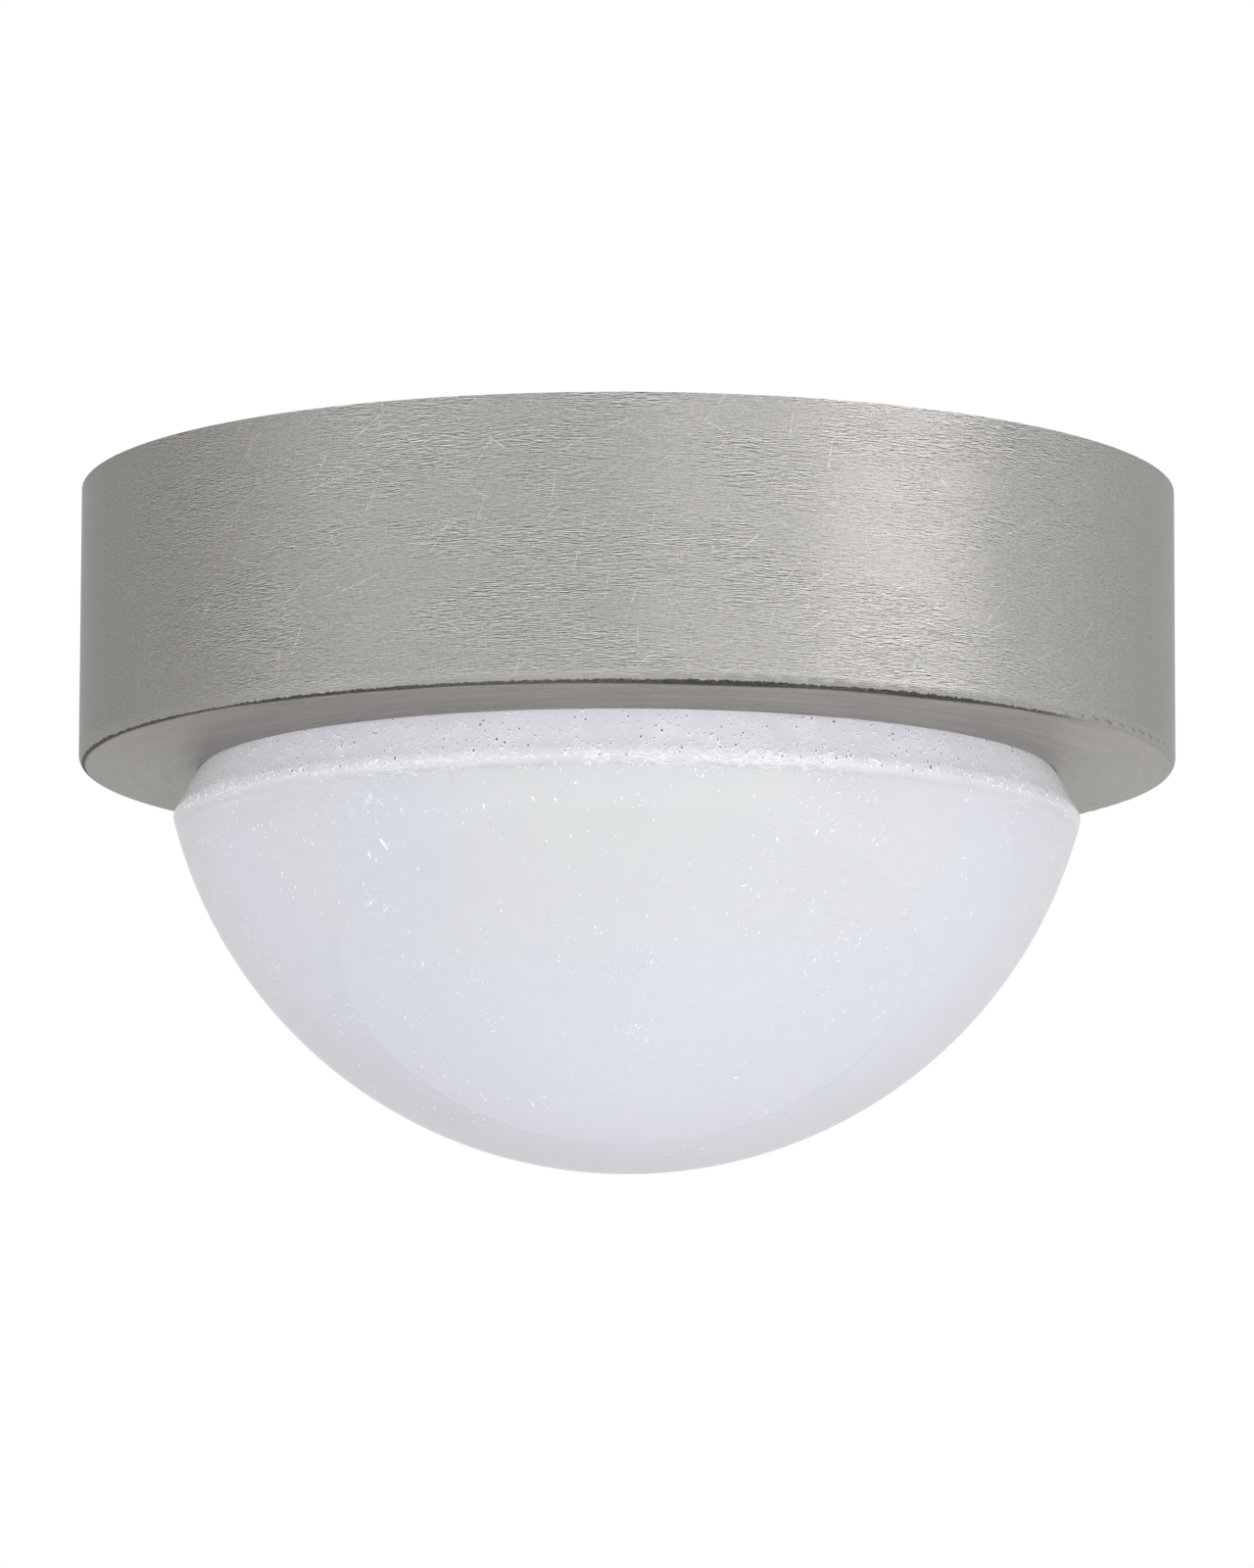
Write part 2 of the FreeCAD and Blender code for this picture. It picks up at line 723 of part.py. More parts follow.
def make_liner_pads():
    """Clear adhesive pads between the liner and the glass."""
    def at(radius, level):
        return f"sqrt(({radius}) ^ 2 - (dome_centre - {level}) ^ 2)"
    pad = lathe("liner_pad", [
        (at("dome_inner", "liner_pad_top"), "liner_pad_top"),
        (at("dome_inner", "liner_pad_bottom"), "liner_pad_bottom", "dome_inner", "right"),
        (at("liner_outer", "liner_pad_bottom"), "liner_pad_bottom"),
        (at("liner_outer", "liner_pad_top"), "liner_pad_top", "liner_outer", "left"),
    ], "liner_pad_angle")
    turns = [f"{index} * 360 / liner_pad_count" for index in steps("liner_pad_count")]
    return group("diffuser_pads", [copy(pad, turn=turn) for turn in turns])


def make_fitter_ring():
    """Pressed channel over the glass neck, with a lug turned out for each notch."""
    channel = lathe("fitter_channel", [
        ("fitter_outer", "lug_bottom"),
        ("fitter_outer", "fitter_top"),
        ("fitter_inner", "fitter_top"),
        ("fitter_inner", "fitter_inner_bottom"),
        ("fitter_inner + fitter_sheet", "fitter_inner_bottom"),
        ("fitter_inner + fitter_sheet", "fitter_top - fitter_sheet"),
        ("fitter_outer - fitter_sheet", "fitter_top - fitter_sheet"),
        ("fitter_outer - fitter_sheet", "lug_bottom"),
    ])
    lugs = []
    for index in steps("lug_count"):
        start = f"lug_phase + {index} * lug_step - lug_angle / 2"
        lugs.append(sector("fitter_outer - fitter_sheet / 2", "lug_tip", "lug_bottom", "fitter_sheet",
                           start, "lug_angle"))
    return fuse("fitter_ring", [channel] + lugs)


def make_fitter_sealant():
    """Silicone that fills the channel round the glass neck."""
    return lathe("fitter_sealant", [
        ("neck_radius + sealant_gap", "lug_bottom"),
        ("neck_radius + sealant_gap", "neck_level + sealant_gap"),
        ("neck_inner - sealant_gap", "neck_level + sealant_gap"),
        ("neck_inner - sealant_gap", "fitter_inner_bottom"),
        ("neck_inner", "fitter_inner_bottom"),
        ("neck_inner", "neck_level"),
        ("neck_radius", "neck_level"),
        ("neck_radius", "lug_bottom"),
    ])


# ---- the LED board ----

def board_screw_spots():
    """Places of the board's screws: steps round the side that is clear of the driver."""
    circle = "board_screw_circle"
    return ring_spots("board_screw_count", circle, "board_screw_phase", "board_screw_step")


def make_board():
    """Aluminium board and the soft pad that passes its heat to the pan."""
    def disc(name, radius, level, thick):
        holes = [("0", "0", radius), ("0", "0", "board_hole")]
        for x, y, angle in board_screw_spots():
            holes.append((x, y, "small_screw_radius + screw_clearance"))
        return plate(name, level, thick, circles=holes)
    pad = disc("thermal_pad", "heat_pad_radius", "heat_pad_under", "heat_pad_thick")
    board = disc("led_board", "board_radius", "board_under", "board_thick")
    return pad, board


def make_chips():
    """Two rings of LED chips under the board."""
    chip = block("chip_length", "chip_width", "chip_height", z="0")
    holder = group("chip", [chip])
    spots = ring_spots("outer_chips", "outer_chip_circle", "outer_chip_phase")
    spots += ring_spots("inner_chips", "inner_chip_circle", "inner_chip_phase")
    level = "board_under - chip_height"
    return group("led_chips", [copy(holder, x=x, y=y, z=level, turn=angle) for x, y, angle in spots])


def make_board_screws():
    """Screws up through the board and pad into the pan."""
    length = "board_thick + heat_pad_thick + pan_sheet"
    screw = pan_head_screw("board_screw", "small_head_radius", "small_head", "small_screw_radius", length)
    copies = []
    for x, y, angle in board_screw_spots():
        copies.append(copy(screw, x=x, y=y, z="board_under", turn="180", axis=(1, 0, 0)))
    return group("board_screws", copies)


def make_connector():
    """Push-in connector that takes the driver's two leads."""
    body = block("connector_length", "connector_depth", "connector_height", "0", "-connector_centre",
                 "board_under - connector_height")
    radius = "thin_lead_radius + lead_hole_gap"
    holes = []
    for side in (-1, 1):
        x = f"{side} * thin_lead_spread"
        holes.append(rod(radius, "connector_depth", x, "-connector_centre", "board_lead_height", "y"))
    return cut("board_connector", body, holes)


# ---- leads and their grommet ----

def lead(name, radius, points, bend):
    """A lead along straight runs joined by tangent arcs."""
    spots = [FreeCAD.Vector(*(number(value) for value in point)) for point in points]
    edges = []
    begin = spots[0]
    for before, corner, after in zip(spots, spots[1:], spots[2:]):
        run_in = (corner - before).normalize()
        run_out = (after - corner).normalize()
        turn = run_in.getAngle(run_out)
        cut_back = number(bend) * math.tan(turn / 2)
        arc_start = corner - run_in * cut_back
        arc_end = corner + run_out * cut_back
        inward = (run_out - run_in).normalize()
        centre = corner + inward * (number(bend) / math.cos(turn / 2))
        middle = centre - inward * number(bend)
        edges.append(Part.LineSegment(begin, arc_start).toShape())
        edges.append(Part.Arc(arc_start, middle, arc_end).toShape())
        begin = arc_end
    edges.append(Part.LineSegment(begin, spots[-1]).toShape())
    path = Part.Wire(edges)
    section = Part.Wire([Part.makeCircle(number(radius), spots[0], spots[1] - spots[0])])
    tube = path.makePipeShell([section], True, False)
    expected = math.pi * number(radius) ** 2 * path.Length
    print(f"{name}: bend radius {number(bend):.1f} mm, length {path.Length:.1f} mm,"
          f" volume {tube.Volume / expected:.4f} of its section times its length")
    piece = doc.addObject("Part::Feature", name)
    piece.Shape = tube
    return piece


def make_leads():
    """Two thin leads from the driver down to the board, three mains leads at the terminal block."""
    inside = "driver_near + driver_wall + 4 * thin_lead_radius"
    board_end = "-connector_centre + connector_depth / 4"
    pieces = []
    for name, side in (("positive_lead", 1), ("negative_lead", -1)):
        x = f"{side} * thin_lead_spread"
        pieces.append(lead(name, "thin_lead_radius", [
            (x, inside, "lead_height"),
            (x, "0", "lead_height"),
            (x, "0", "board_lead_height"),
            (x, board_end, "board_lead_height"),
        ], "thin_lead_bend"))
    start = "-driver_end + driver_wall + 3 * mains_lead_radius"
    end = "clamp_left + clamp_length / 3"
    for name, exit_y, reach, entry in (("line_lead", "line_exit", "line_reach", "line_y"),
                                       ("neutral_lead", "neutral_exit", "neutral_reach", "terminal_y")):
        pieces.append(lead(name, "mains_lead_radius", [
            (start, f"driver_centre + {exit_y}", "lead_height"),
            (f"-driver_end - {reach}", f"driver_centre + {exit_y}", "lead_height"),
            (f"-driver_end - {reach}", entry, "lead_height"),
            (end, entry, "lead_height"),
        ], "mains_lead_bend"))
    pieces.append(lead("earth_lead", "mains_lead_radius", [
        (end, "earth_y", "lead_height"),
        ("terminal_left - earth_lead_run", "earth_y", "lead_height"),
        ("terminal_left - earth_lead_run - earth_lead_drop", "earth_y", "lug_barrel_level"),
        ("lug_barrel_x + lug_barrel_length / 3", "earth_y", "lug_barrel_level"),
    ], "earth_lead_bend"))
    return pieces


def make_grommet():
    """Rubber grommet that guards the thin leads through the pan floor."""
    return lathe("lead_grommet", [
        ("grommet_bore", "pan_under - grommet_lip"),
        ("grommet_flange", "pan_under - grommet_lip"),
        ("grommet_flange", "pan_under"),
        ("grommet_hole", "pan_under"),
        ("grommet_hole", "pan_top"),
        ("grommet_flange", "pan_top"),
        ("grommet_flange", "pan_top + grommet_lip"),
        ("grommet_bore", "pan_top + grommet_lip"),
    ])


# ---- the driver ----

def driver_screw_spots():
    """Places of the two screws in the driver's ears."""
    reach = "(driver_end + ear_length / 2)"
    return [(f"{side} * {reach}", "driver_centre") for side in (-1, 1)]


def make_driver_case():
    """Open tray with an ear at each end, posts for the board, and holes for the leads."""
    outer = block("driver_length", "driver_width", "driver_height", "0", "driver_centre", "pan_top")
    inner = block("driver_length - 2 * driver_wall", "driver_width - 2 * driver_wall", "driver_height",
                  "0", "driver_centre", "pan_top + driver_wall")
    tray = cut("driver_tray", outer, [inner])
    solids = [tray]
    holes = []
    screw_hole = "small_screw_radius + screw_clearance"
    below = "pan_top - ear_thick / 2"
    for x, y in driver_screw_spots():
        solids.append(block("ear_length + driver_wall", "ear_width", "ear_thick", x, y, "pan_top"))
        holes.append(rod(screw_hole, "2 * ear_thick", x, y, below))
    post_side = "2 * small_screw_radius"
    post_height = "driver_wall + board_post"
    post_x = "driver_end - driver_wall - small_screw_radius"
    post_y = "driver_width / 2 - driver_wall - small_screw_radius"
    for side_x in (-1, 1):
        for side_y in (-1, 1):
            x = f"{side_x} * ({post_x})"
            y = f"driver_centre + {side_y} * ({post_y})"
            solids.append(block(post_side, post_side, post_height, x, y, "pan_top"))
    cleared = "2 * driver_wall"
    for side in (-1, 1):
        holes.append(rod("thin_lead_radius + lead_hole_gap", cleared, f"{side} * thin_lead_spread",
                         "driver_near - driver_wall / 2", "lead_height", "y"))
    for exit_y in ("line_exit", "neutral_exit"):
        holes.append(rod("mains_lead_radius + lead_hole_gap", cleared, "-driver_end - driver_wall / 2",
                         f"driver_centre + {exit_y}", "lead_height", "x"))
    return cut("driver_case", fuse("driver_tray_eared", solids), holes)


def make_driver_cover():
    """Lid of the driver, with a lip inside the tray's walls."""
    lid = block("driver_length", "driver_width", "driver_cover_thick",
                "0", "driver_centre", "driver_cover_level")
    length = "driver_length - 2 * driver_wall - screw_clearance"
    width = "driver_width - 2 * driver_wall - screw_clearance"
    lip_level = "driver_cover_level - driver_cover_lip"
    lip = block(length, width, "driver_cover_lip", "0", "driver_centre", lip_level)
    hollow = block(f"{length} - 2 * driver_wall", f"{width} - 2 * driver_wall", "driver_cover_lip",
                   "0", "driver_centre", lip_level)
    return cut("driver_cover", fuse("driver_lid", [lid, lip]), [hollow])


def make_driver_board():
    """Circuit board on the tray's posts, and the parts on it."""
    gap = "2 * (driver_wall + driver_board_gap)"
    board = block(f"driver_length - {gap}", f"driver_width - {gap}", "driver_board_thick",
                  "0", "driver_centre", "driver_board_level")
    board = group("driver_board", [board])
    top = "driver_board_top"
    cans = []
    for side in (-1, 1):
        can = lathe("capacitor_can", [
            ("0", "0"),
            ("capacitor_radius", "0"),
            ("capacitor_radius", "capacitor_height - driver_wall / 2"),
            ("capacitor_radius - driver_wall / 2", "capacitor_height", "driver_wall / 2", "left"),
            ("0", "capacitor_height"),
        ])
        cans.append(place(can, "capacitor_place", f"driver_centre + {side} * capacitor_pitch / 2", top))
    capacitors = group("driver_capacitors", cans)
    core_y = "driver_centre + transformer_width / 6"
    core = block("transformer_length", "transformer_core", "transformer_height", "0", core_y, top)
    winding_length = "transformer_length - 2 * driver_wall"
    winding_height = "transformer_height - driver_wall"
    winding = block(winding_length, "transformer_width", winding_height, "0", core_y, top)
    transformer = fuse("driver_transformer", [core, winding])
    torus_blank = rod("choke_radius", "choke_height", "-choke_place", core_y, top)
    torus_bore = rod("choke_bore", "choke_height", "-choke_place", core_y, top)
    choke = cut("driver_choke", torus_blank, [torus_bore])
    chip_y = "driver_near + driver_wall + transformer_width / 2"
    chips = []
    for side in (-1, 1):
        chips.append(block("chip_length * 2", "chip_width * 2", "driver_chip_height",
                           f"{side} * choke_place / 2", chip_y, top))
    return [board, capacitors, transformer, choke, group("driver_chips", chips)]


def make_driver_screws():
    """Screws through the driver's ears into the pan."""
    screw = pan_head_screw("driver_screw", "small_head_radius", "small_head", "small_screw_radius",
                           "ear_thick + pan_sheet + small_head")
    copies = [copy(screw, x=x, y=y, z="pan_top + ear_thick") for x, y in driver_screw_spots()]
    return group("driver_screws", copies)


# ---- the terminal block ----

def terminal_poles():
    """The y of each pole."""
    return [f"terminal_y + {index} * terminal_pitch" for index in (-1, 0, 1)]


def terminal_screw_spots():
    """Places of the two screws that hold the block, between its poles."""
    return [("terminal_x", f"terminal_y + {side} * terminal_pitch / 2") for side in (-1, 1)]


def clamp_screw_spots():
    """Places of the clamp screws: in each pole one on the light's lead, one backed off."""
    spots = []
    for y in terminal_poles():
        spots.append(("terminal_x - clamp_screw_offset", y, "mains_lead_radius"))
        spots.append(("terminal_x + clamp_screw_offset", y, "clamp_bore + thread_clearance"))
    return spots


def make_terminal_block():
    """Moulded block with a through pole for each wire and wells for its screws."""
    body = block("terminal_width", "terminal_length", "terminal_height",
                 "terminal_x", "terminal_y", "pan_top")
    screw_hole = "small_screw_radius + screw_clearance / 4"
    head_well = "small_head_radius + screw_clearance"
    seat = "lead_height + clamp_radius"
    tools = []
    for y in terminal_poles():
        tools.append(rod("clamp_radius", "terminal_width", "terminal_left", y, "lead_height", "x"))
    for x, y, tip in clamp_screw_spots():
        tools.append(rod("clamp_screw_well", "terminal_height", x, y, "lead_height"))
    for x, y in terminal_screw_spots():
        tools.append(rod(screw_hole, "terminal_height", x, y, "pan_top"))
        tools.append(rod(head_well, "terminal_height", x, y, seat))
    return cut("terminal_block", body, tools)


def make_terminal_clamps():
    """Brass bars in the poles, bored from both ends up to a web and tapped from above."""
    clamps = []
    depth = "(clamp_length - clamp_web) / 2"
    for y in terminal_poles():
        tube = rod("clamp_radius", "clamp_length", "clamp_left", y, "lead_height", "x")
        tools = [rod("clamp_bore", depth, "clamp_left", y, "lead_height", "x")]
        tools.append(rod("clamp_bore", depth, "terminal_x + clamp_web / 2", y, "lead_height", "x"))
        for side in (-1, 1):
            tools.append(rod("clamp_screw_radius + thread_clearance", "2 * clamp_radius",
                             f"terminal_x + {side} * clamp_screw_offset", y, "lead_height"))
        clamps.append(cut("clamp", tube, tools))
    return group("terminal_clamps", clamps)


def make_terminal_screws():
    """Clamp screws over the wires, and the two screws that hold the block."""
    clamp = rod("clamp_screw_radius", "clamp_screw_length")
    slot = block("3 * clamp_screw_radius", "clamp_screw_radius / 2", "clamp_screw_length",
                 z="clamp_screw_length - clamp_screw_radius / 2")
    slotted = cut("clamp_screw", clamp, [slot])
    copies = []
    for x, y, tip in clamp_screw_spots():
        copies.append(copy(slotted, x=x, y=y, z=f"lead_height + {tip}"))
    fixing = pan_head_screw("fixing_screw", "small_head_radius", "small_head", "small_screw_radius",
                            "lead_level + clamp_radius + pan_sheet")
    level = "lead_height + clamp_radius"
    fixings = [copy(fixing, x=x, y=y, z=level) for x, y in terminal_screw_spots()]
    return group("terminal_screws", copies), group("terminal_fixing_screws", fixings)


# ---- the earth joint ----

def make_earth_joint():
    """Washer, ring lug and screw that earth the pan."""
    spot = {"x": "earth_x", "y": "earth_y"}
    washer_ring = rod("earth_washer_radius", "earth_washer_thick", z="pan_top", **spot)
    washer_bore = rod("earth_screw_radius + thread_clearance", "earth_washer_thick", z="pan_top", **spot)
    washer = cut("earth_washer", washer_ring, [washer_bore])
    eye = rod("lug_plate_radius", "lug_plate_thick", z="lug_plate_level", **spot)
    tongue = block("lug_barrel_start + lug_barrel_length / 2", "lug_barrel_radius", "lug_plate_thick",
                   "earth_x + lug_barrel_start / 2 + lug_barrel_length / 4", "earth_y", "lug_plate_level")
    run = ("lug_barrel_length", "lug_barrel_x", "earth_y", "lug_barrel_level", "x")
    barrel = rod("lug_barrel_radius", *run)
    bores = [rod("earth_screw_radius + thread_clearance", "lug_plate_thick", z="lug_plate_level", **spot)]
    bores.append(rod("mains_lead_radius", *run))
    ring_lug = cut("earth_lug", fuse("lug_blank", [eye, tongue, barrel]), bores)
    screw = pan_head_screw("earth_screw", "earth_head_radius", "earth_head", "earth_screw_radius",
                           "lug_plate_thick + earth_washer_thick + pan_sheet")
    place(screw, "earth_x", "earth_y", "lug_plate_level + lug_plate_thick")
    return [washer, ring_lug, screw]


# ---- the strap on the outlet box ----

def make_strap():
    """Flat strap with slots for the box's screws and tapped holes for the light's own."""
    half = "strap_length / 2"
    edge = "strap_width / 2"
    flat = "strap_length / 2 - strap_round"
    side = "strap_width / 2 - strap_round"
    blank = plate("strap_blank", "-strap_thick", "strap_thick", corners=[
        (flat, f"-({edge})"),
        (half, f"-({side})", "strap_round", "left"),
        (half, side),
        (flat, edge, "strap_round", "left"),
        (f"-({flat})", edge),
        (f"-({half})", side, "strap_round", "left"),
        (f"-({half})", f"-({side})"),
        (f"-({flat})", f"-({edge})", "strap_round", "left"),
    ])
    deep = "3 * strap_thick"
    below = "-2 * strap_thick"
    run = "(slot_reach - slot_width)"
    threaded = "fixture_screw_radius + thread_clearance"
    tools = [rod("strap_bore", deep, z=below)]
    tools.append(rod("ground_screw_radius + thread_clearance", deep, "ground_x", "0", below))
    for way in (-1, 1):
        tools.append(rod(threaded, deep, f"{way} * fixture_circle", "0", below))
        tools.append(block(run, "slot_width", deep, f"{way} * slot_place", "0", below))
        for end in (-1, 1):
            tools.append(rod("slot_width / 2", deep, f"{way} * slot_place + {end} * {run} / 2", "0", below))
    return cut("mounting_strap", blank, tools)


def make_strap_screws():
    """Ground screw in the strap, and the two long screws that hold the light to it."""
    head = hexagon("ground_head", "ground_head_across", "ground_head")
    place(head, z="-strap_thick - ground_head")
    shank = rod("ground_screw_radius", "strap_thick - fixture_tip_gap", z="-strap_thick")
    ground = place(fuse("strap_ground_screw", [head, shank]), "ground_x")
    screw = pan_head_screw("fixture_screw", "fixture_head_radius", "fixture_head", "fixture_screw_radius",
                           "fixture_screw_length")
    copies = []
    for way in (-1, 1):
        x = f"{way} * fixture_circle"
        copies.append(copy(screw, x=x, z="pan_under", turn="180", axis=(1, 0, 0)))
    return ground, group("fixture_screws", copies)


# ---- everything, checked and written ----

def make_all():
    """Every sub-part of the light."""
    pieces = [make_housing_ring(), *make_studs(), make_pan()]
    pieces += [make_bayonet_ring(), make_bayonet_rivets()]
    pieces += [make_glass_dome(), make_liner(), make_liner_pads()]
    pieces += [make_fitter_ring(), make_fitter_sealant()]
    pieces += [*make_board(), make_chips(), make_board_screws(), make_connector()]
    pieces += [*make_leads(), make_grommet()]
    pieces += [make_driver_case(), make_driver_cover(), *make_driver_board(), make_driver_screws()]
    pieces += [make_terminal_block(), make_terminal_clamps(), *make_terminal_screws(), *make_earth_joint()]
    pieces += [make_strap(), *make_strap_screws()]
    return pieces


def check(pieces):
    """Stop if anything in the document failed, or a sub-part has no valid solid."""
    for thing in doc.Objects:
        if "Invalid" in thing.State or "Error" in thing.State:
            raise RuntimeError(f"{thing.Label} failed: {thing.State}")
    for piece in pieces:
        shape = piece.Shape
        if shape.isNull() or not shape.isValid() or not shape.Solids:
            raise RuntimeError(f"{piece.Label} has no valid solid")


sizes = make_sheet()
subparts = make_all()
doc.recompute()
check(subparts)
os.makedirs("parts", exist_ok=True)
for subpart in subparts:
    subpart.Shape.exportStep(f"parts/{subpart.Label}.step")
    print(f"{subpart.Label}: {len(subpart.Shape.Solids)} solid(s), {subpart.Shape.Volume:.1f} mm3")
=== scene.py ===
import math
import random

import bmesh
import bpy
from mathutils import Matrix, Vector


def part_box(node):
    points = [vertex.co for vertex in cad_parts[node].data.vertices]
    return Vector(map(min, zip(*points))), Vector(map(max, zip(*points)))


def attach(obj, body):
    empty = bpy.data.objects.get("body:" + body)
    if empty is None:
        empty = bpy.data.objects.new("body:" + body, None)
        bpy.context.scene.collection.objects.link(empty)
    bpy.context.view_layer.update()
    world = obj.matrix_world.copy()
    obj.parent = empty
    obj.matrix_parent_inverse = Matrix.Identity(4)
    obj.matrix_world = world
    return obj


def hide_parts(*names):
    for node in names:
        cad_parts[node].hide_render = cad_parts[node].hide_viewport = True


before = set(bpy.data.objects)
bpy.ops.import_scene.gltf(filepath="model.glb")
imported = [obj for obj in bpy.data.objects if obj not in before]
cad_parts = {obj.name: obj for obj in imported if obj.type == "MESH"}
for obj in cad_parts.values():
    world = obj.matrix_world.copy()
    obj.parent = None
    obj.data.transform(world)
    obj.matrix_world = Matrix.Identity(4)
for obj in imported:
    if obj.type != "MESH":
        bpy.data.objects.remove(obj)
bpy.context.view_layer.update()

bl_info = {
    "name": "Seeded Glass Ceiling Light",
    "version": (1, 0, 0),
    "blender": (4, 5, 0),
    "location": "3D View > Sidebar > Light",
    "description": "Finishes a small flush ceiling light with a brushed ring and a seeded glass shade",
    "category": "Object",
}

MM = 0.001
WHITE = (1.0, 1.0, 1.0, 1.0)
BLACK = (0.0, 0.0, 0.0, 1.0)


def node_points(node):
    """The places of a node's vertices."""
    return [vertex.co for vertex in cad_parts[node].data.vertices]


def radius_of(point):
    """Distance from the light's axis."""
    return math.hypot(point.x, point.y)


# ---- heights and radii ----

# The ring and the liner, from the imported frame.
RING_LOW, RING_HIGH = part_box("housing_ring")
LINER_LOW, LINER_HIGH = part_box("diffuser")
RING_RADIUS = RING_HIGH.x
OPENING_RADIUS = min(radius_of(point) for point in node_points("housing_ring"))
OPENING_LEVEL = RING_LOW.z
# How far the flange's opening lies below its bend.
FLANGE_DISH = 0.9 * MM
BEND_LEVEL = OPENING_LEVEL + FLANGE_DISH
LINER_BOTTOM = LINER_LOW.z
LINER_RIM = max(point.z for point in node_points("diffuser")
                if radius_of(point) > LINER_HIGH.x - 0.2 * MM)

# The glass: a bowl up to a crease, a collar that draws in from there, and the neck inside the ring.
GLASS_LOW, GLASS_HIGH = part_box("glass_dome")
GLASS_BOTTOM = GLASS_LOW.z
GLASS_TOP = GLASS_HIGH.z
GLASS_WALL = 2.6 * MM
CREASE_RADIUS = 73.65 * MM
CREASE_DROP = 7.0 * MM
CREASE_LEVEL = OPENING_LEVEL - CREASE_DROP
DOME_DEPTH = CREASE_LEVEL - GLASS_BOTTOM
DOME_RADIUS = (CREASE_RADIUS ** 2 + DOME_DEPTH ** 2) / (2 * DOME_DEPTH)
DOME_CENTRE = GLASS_BOTTOM + DOME_RADIUS
# The collar all but fills the ring's opening.
MOUTH_GAP = 0.2 * MM
MOUTH_RADIUS = OPENING_RADIUS - MOUTH_GAP
MOUTH_LEVEL = OPENING_LEVEL + 0.1 * MM
COLLAR_SLOPE = (CREASE_RADIUS - MOUTH_RADIUS) / (MOUTH_LEVEL - CREASE_LEVEL)
NECK_RADIUS = max(radius_of(point) for point in node_points("glass_dome")
                  if point.z > GLASS_TOP - 1 * MM)
NECK_BASE = min(point.z for point in node_points("glass_dome")
                if point.z > OPENING_LEVEL and abs(radius_of(point) - NECK_RADIUS) < 0.01 * MM)


# ---- shader nodes ----

class Wire:
    """A socket of a node tree. Arithmetic on it adds Math nodes to the tree."""

    def __init__(self, nodes, socket):
        self.nodes = nodes
        self.socket = socket

    def math(self, operation, *values, clamp=False):
        """A Math node on values, the first of which may be this wire."""
        settings = {"operation": operation, "use_clamp": clamp}
        return self.nodes.add("ShaderNodeMath", settings, dict(enumerate(values)))

    def __add__(self, other):
        return self.math("ADD", self, other)

    def __radd__(self, other):
        return self.math("ADD", other, self)

    def __sub__(self, other):
        return self.math("SUBTRACT", self, other)

    def __rsub__(self, other):
        return self.math("SUBTRACT", other, self)

    def __mul__(self, other):
        return self.math("MULTIPLY", self, other)

    def __rmul__(self, other):
        return self.math("MULTIPLY", other, self)

    def __truediv__(self, other):
        return self.math("DIVIDE", self, other)

    def __rtruediv__(self, other):
        return self.math("DIVIDE", other, self)

    def __pow__(self, other):
        return self.math("POWER", self, other)

    def __abs__(self):
        return self.math("ABSOLUTE", self)

    def clamped(self):
        """The value, kept from 0 to 1."""
        return self.math("ADD", self, 0.0, clamp=True)

    def rise(self, low, high):
        """0 below low, 1 above high, and smooth between."""
        return self.nodes.add("ShaderNodeMapRange", {"interpolation_type": "SMOOTHSTEP"},
                              {"Value": self, "From Min": low, "From Max": high})


class Nodes:
    """A node tree that is being built."""

    def __init__(self, tree):
        self.tree = tree
        tree.nodes.clear()

    def add(self, kind, settings=None, sockets=None, output=0):
        """Add a node: its type, then its settings, then the values or links of its sockets."""
        node = self.tree.nodes.new(kind)
        for name, value in (settings or {}).items():
            setattr(node, name, value)
        for name, value in (sockets or {}).items():
            if isinstance(value, Wire):
                self.tree.links.new(value.socket, node.inputs[name])
            else:
                node.inputs[name].default_value = value
        if not node.outputs:
            return node
        return Wire(self, node.outputs[output])


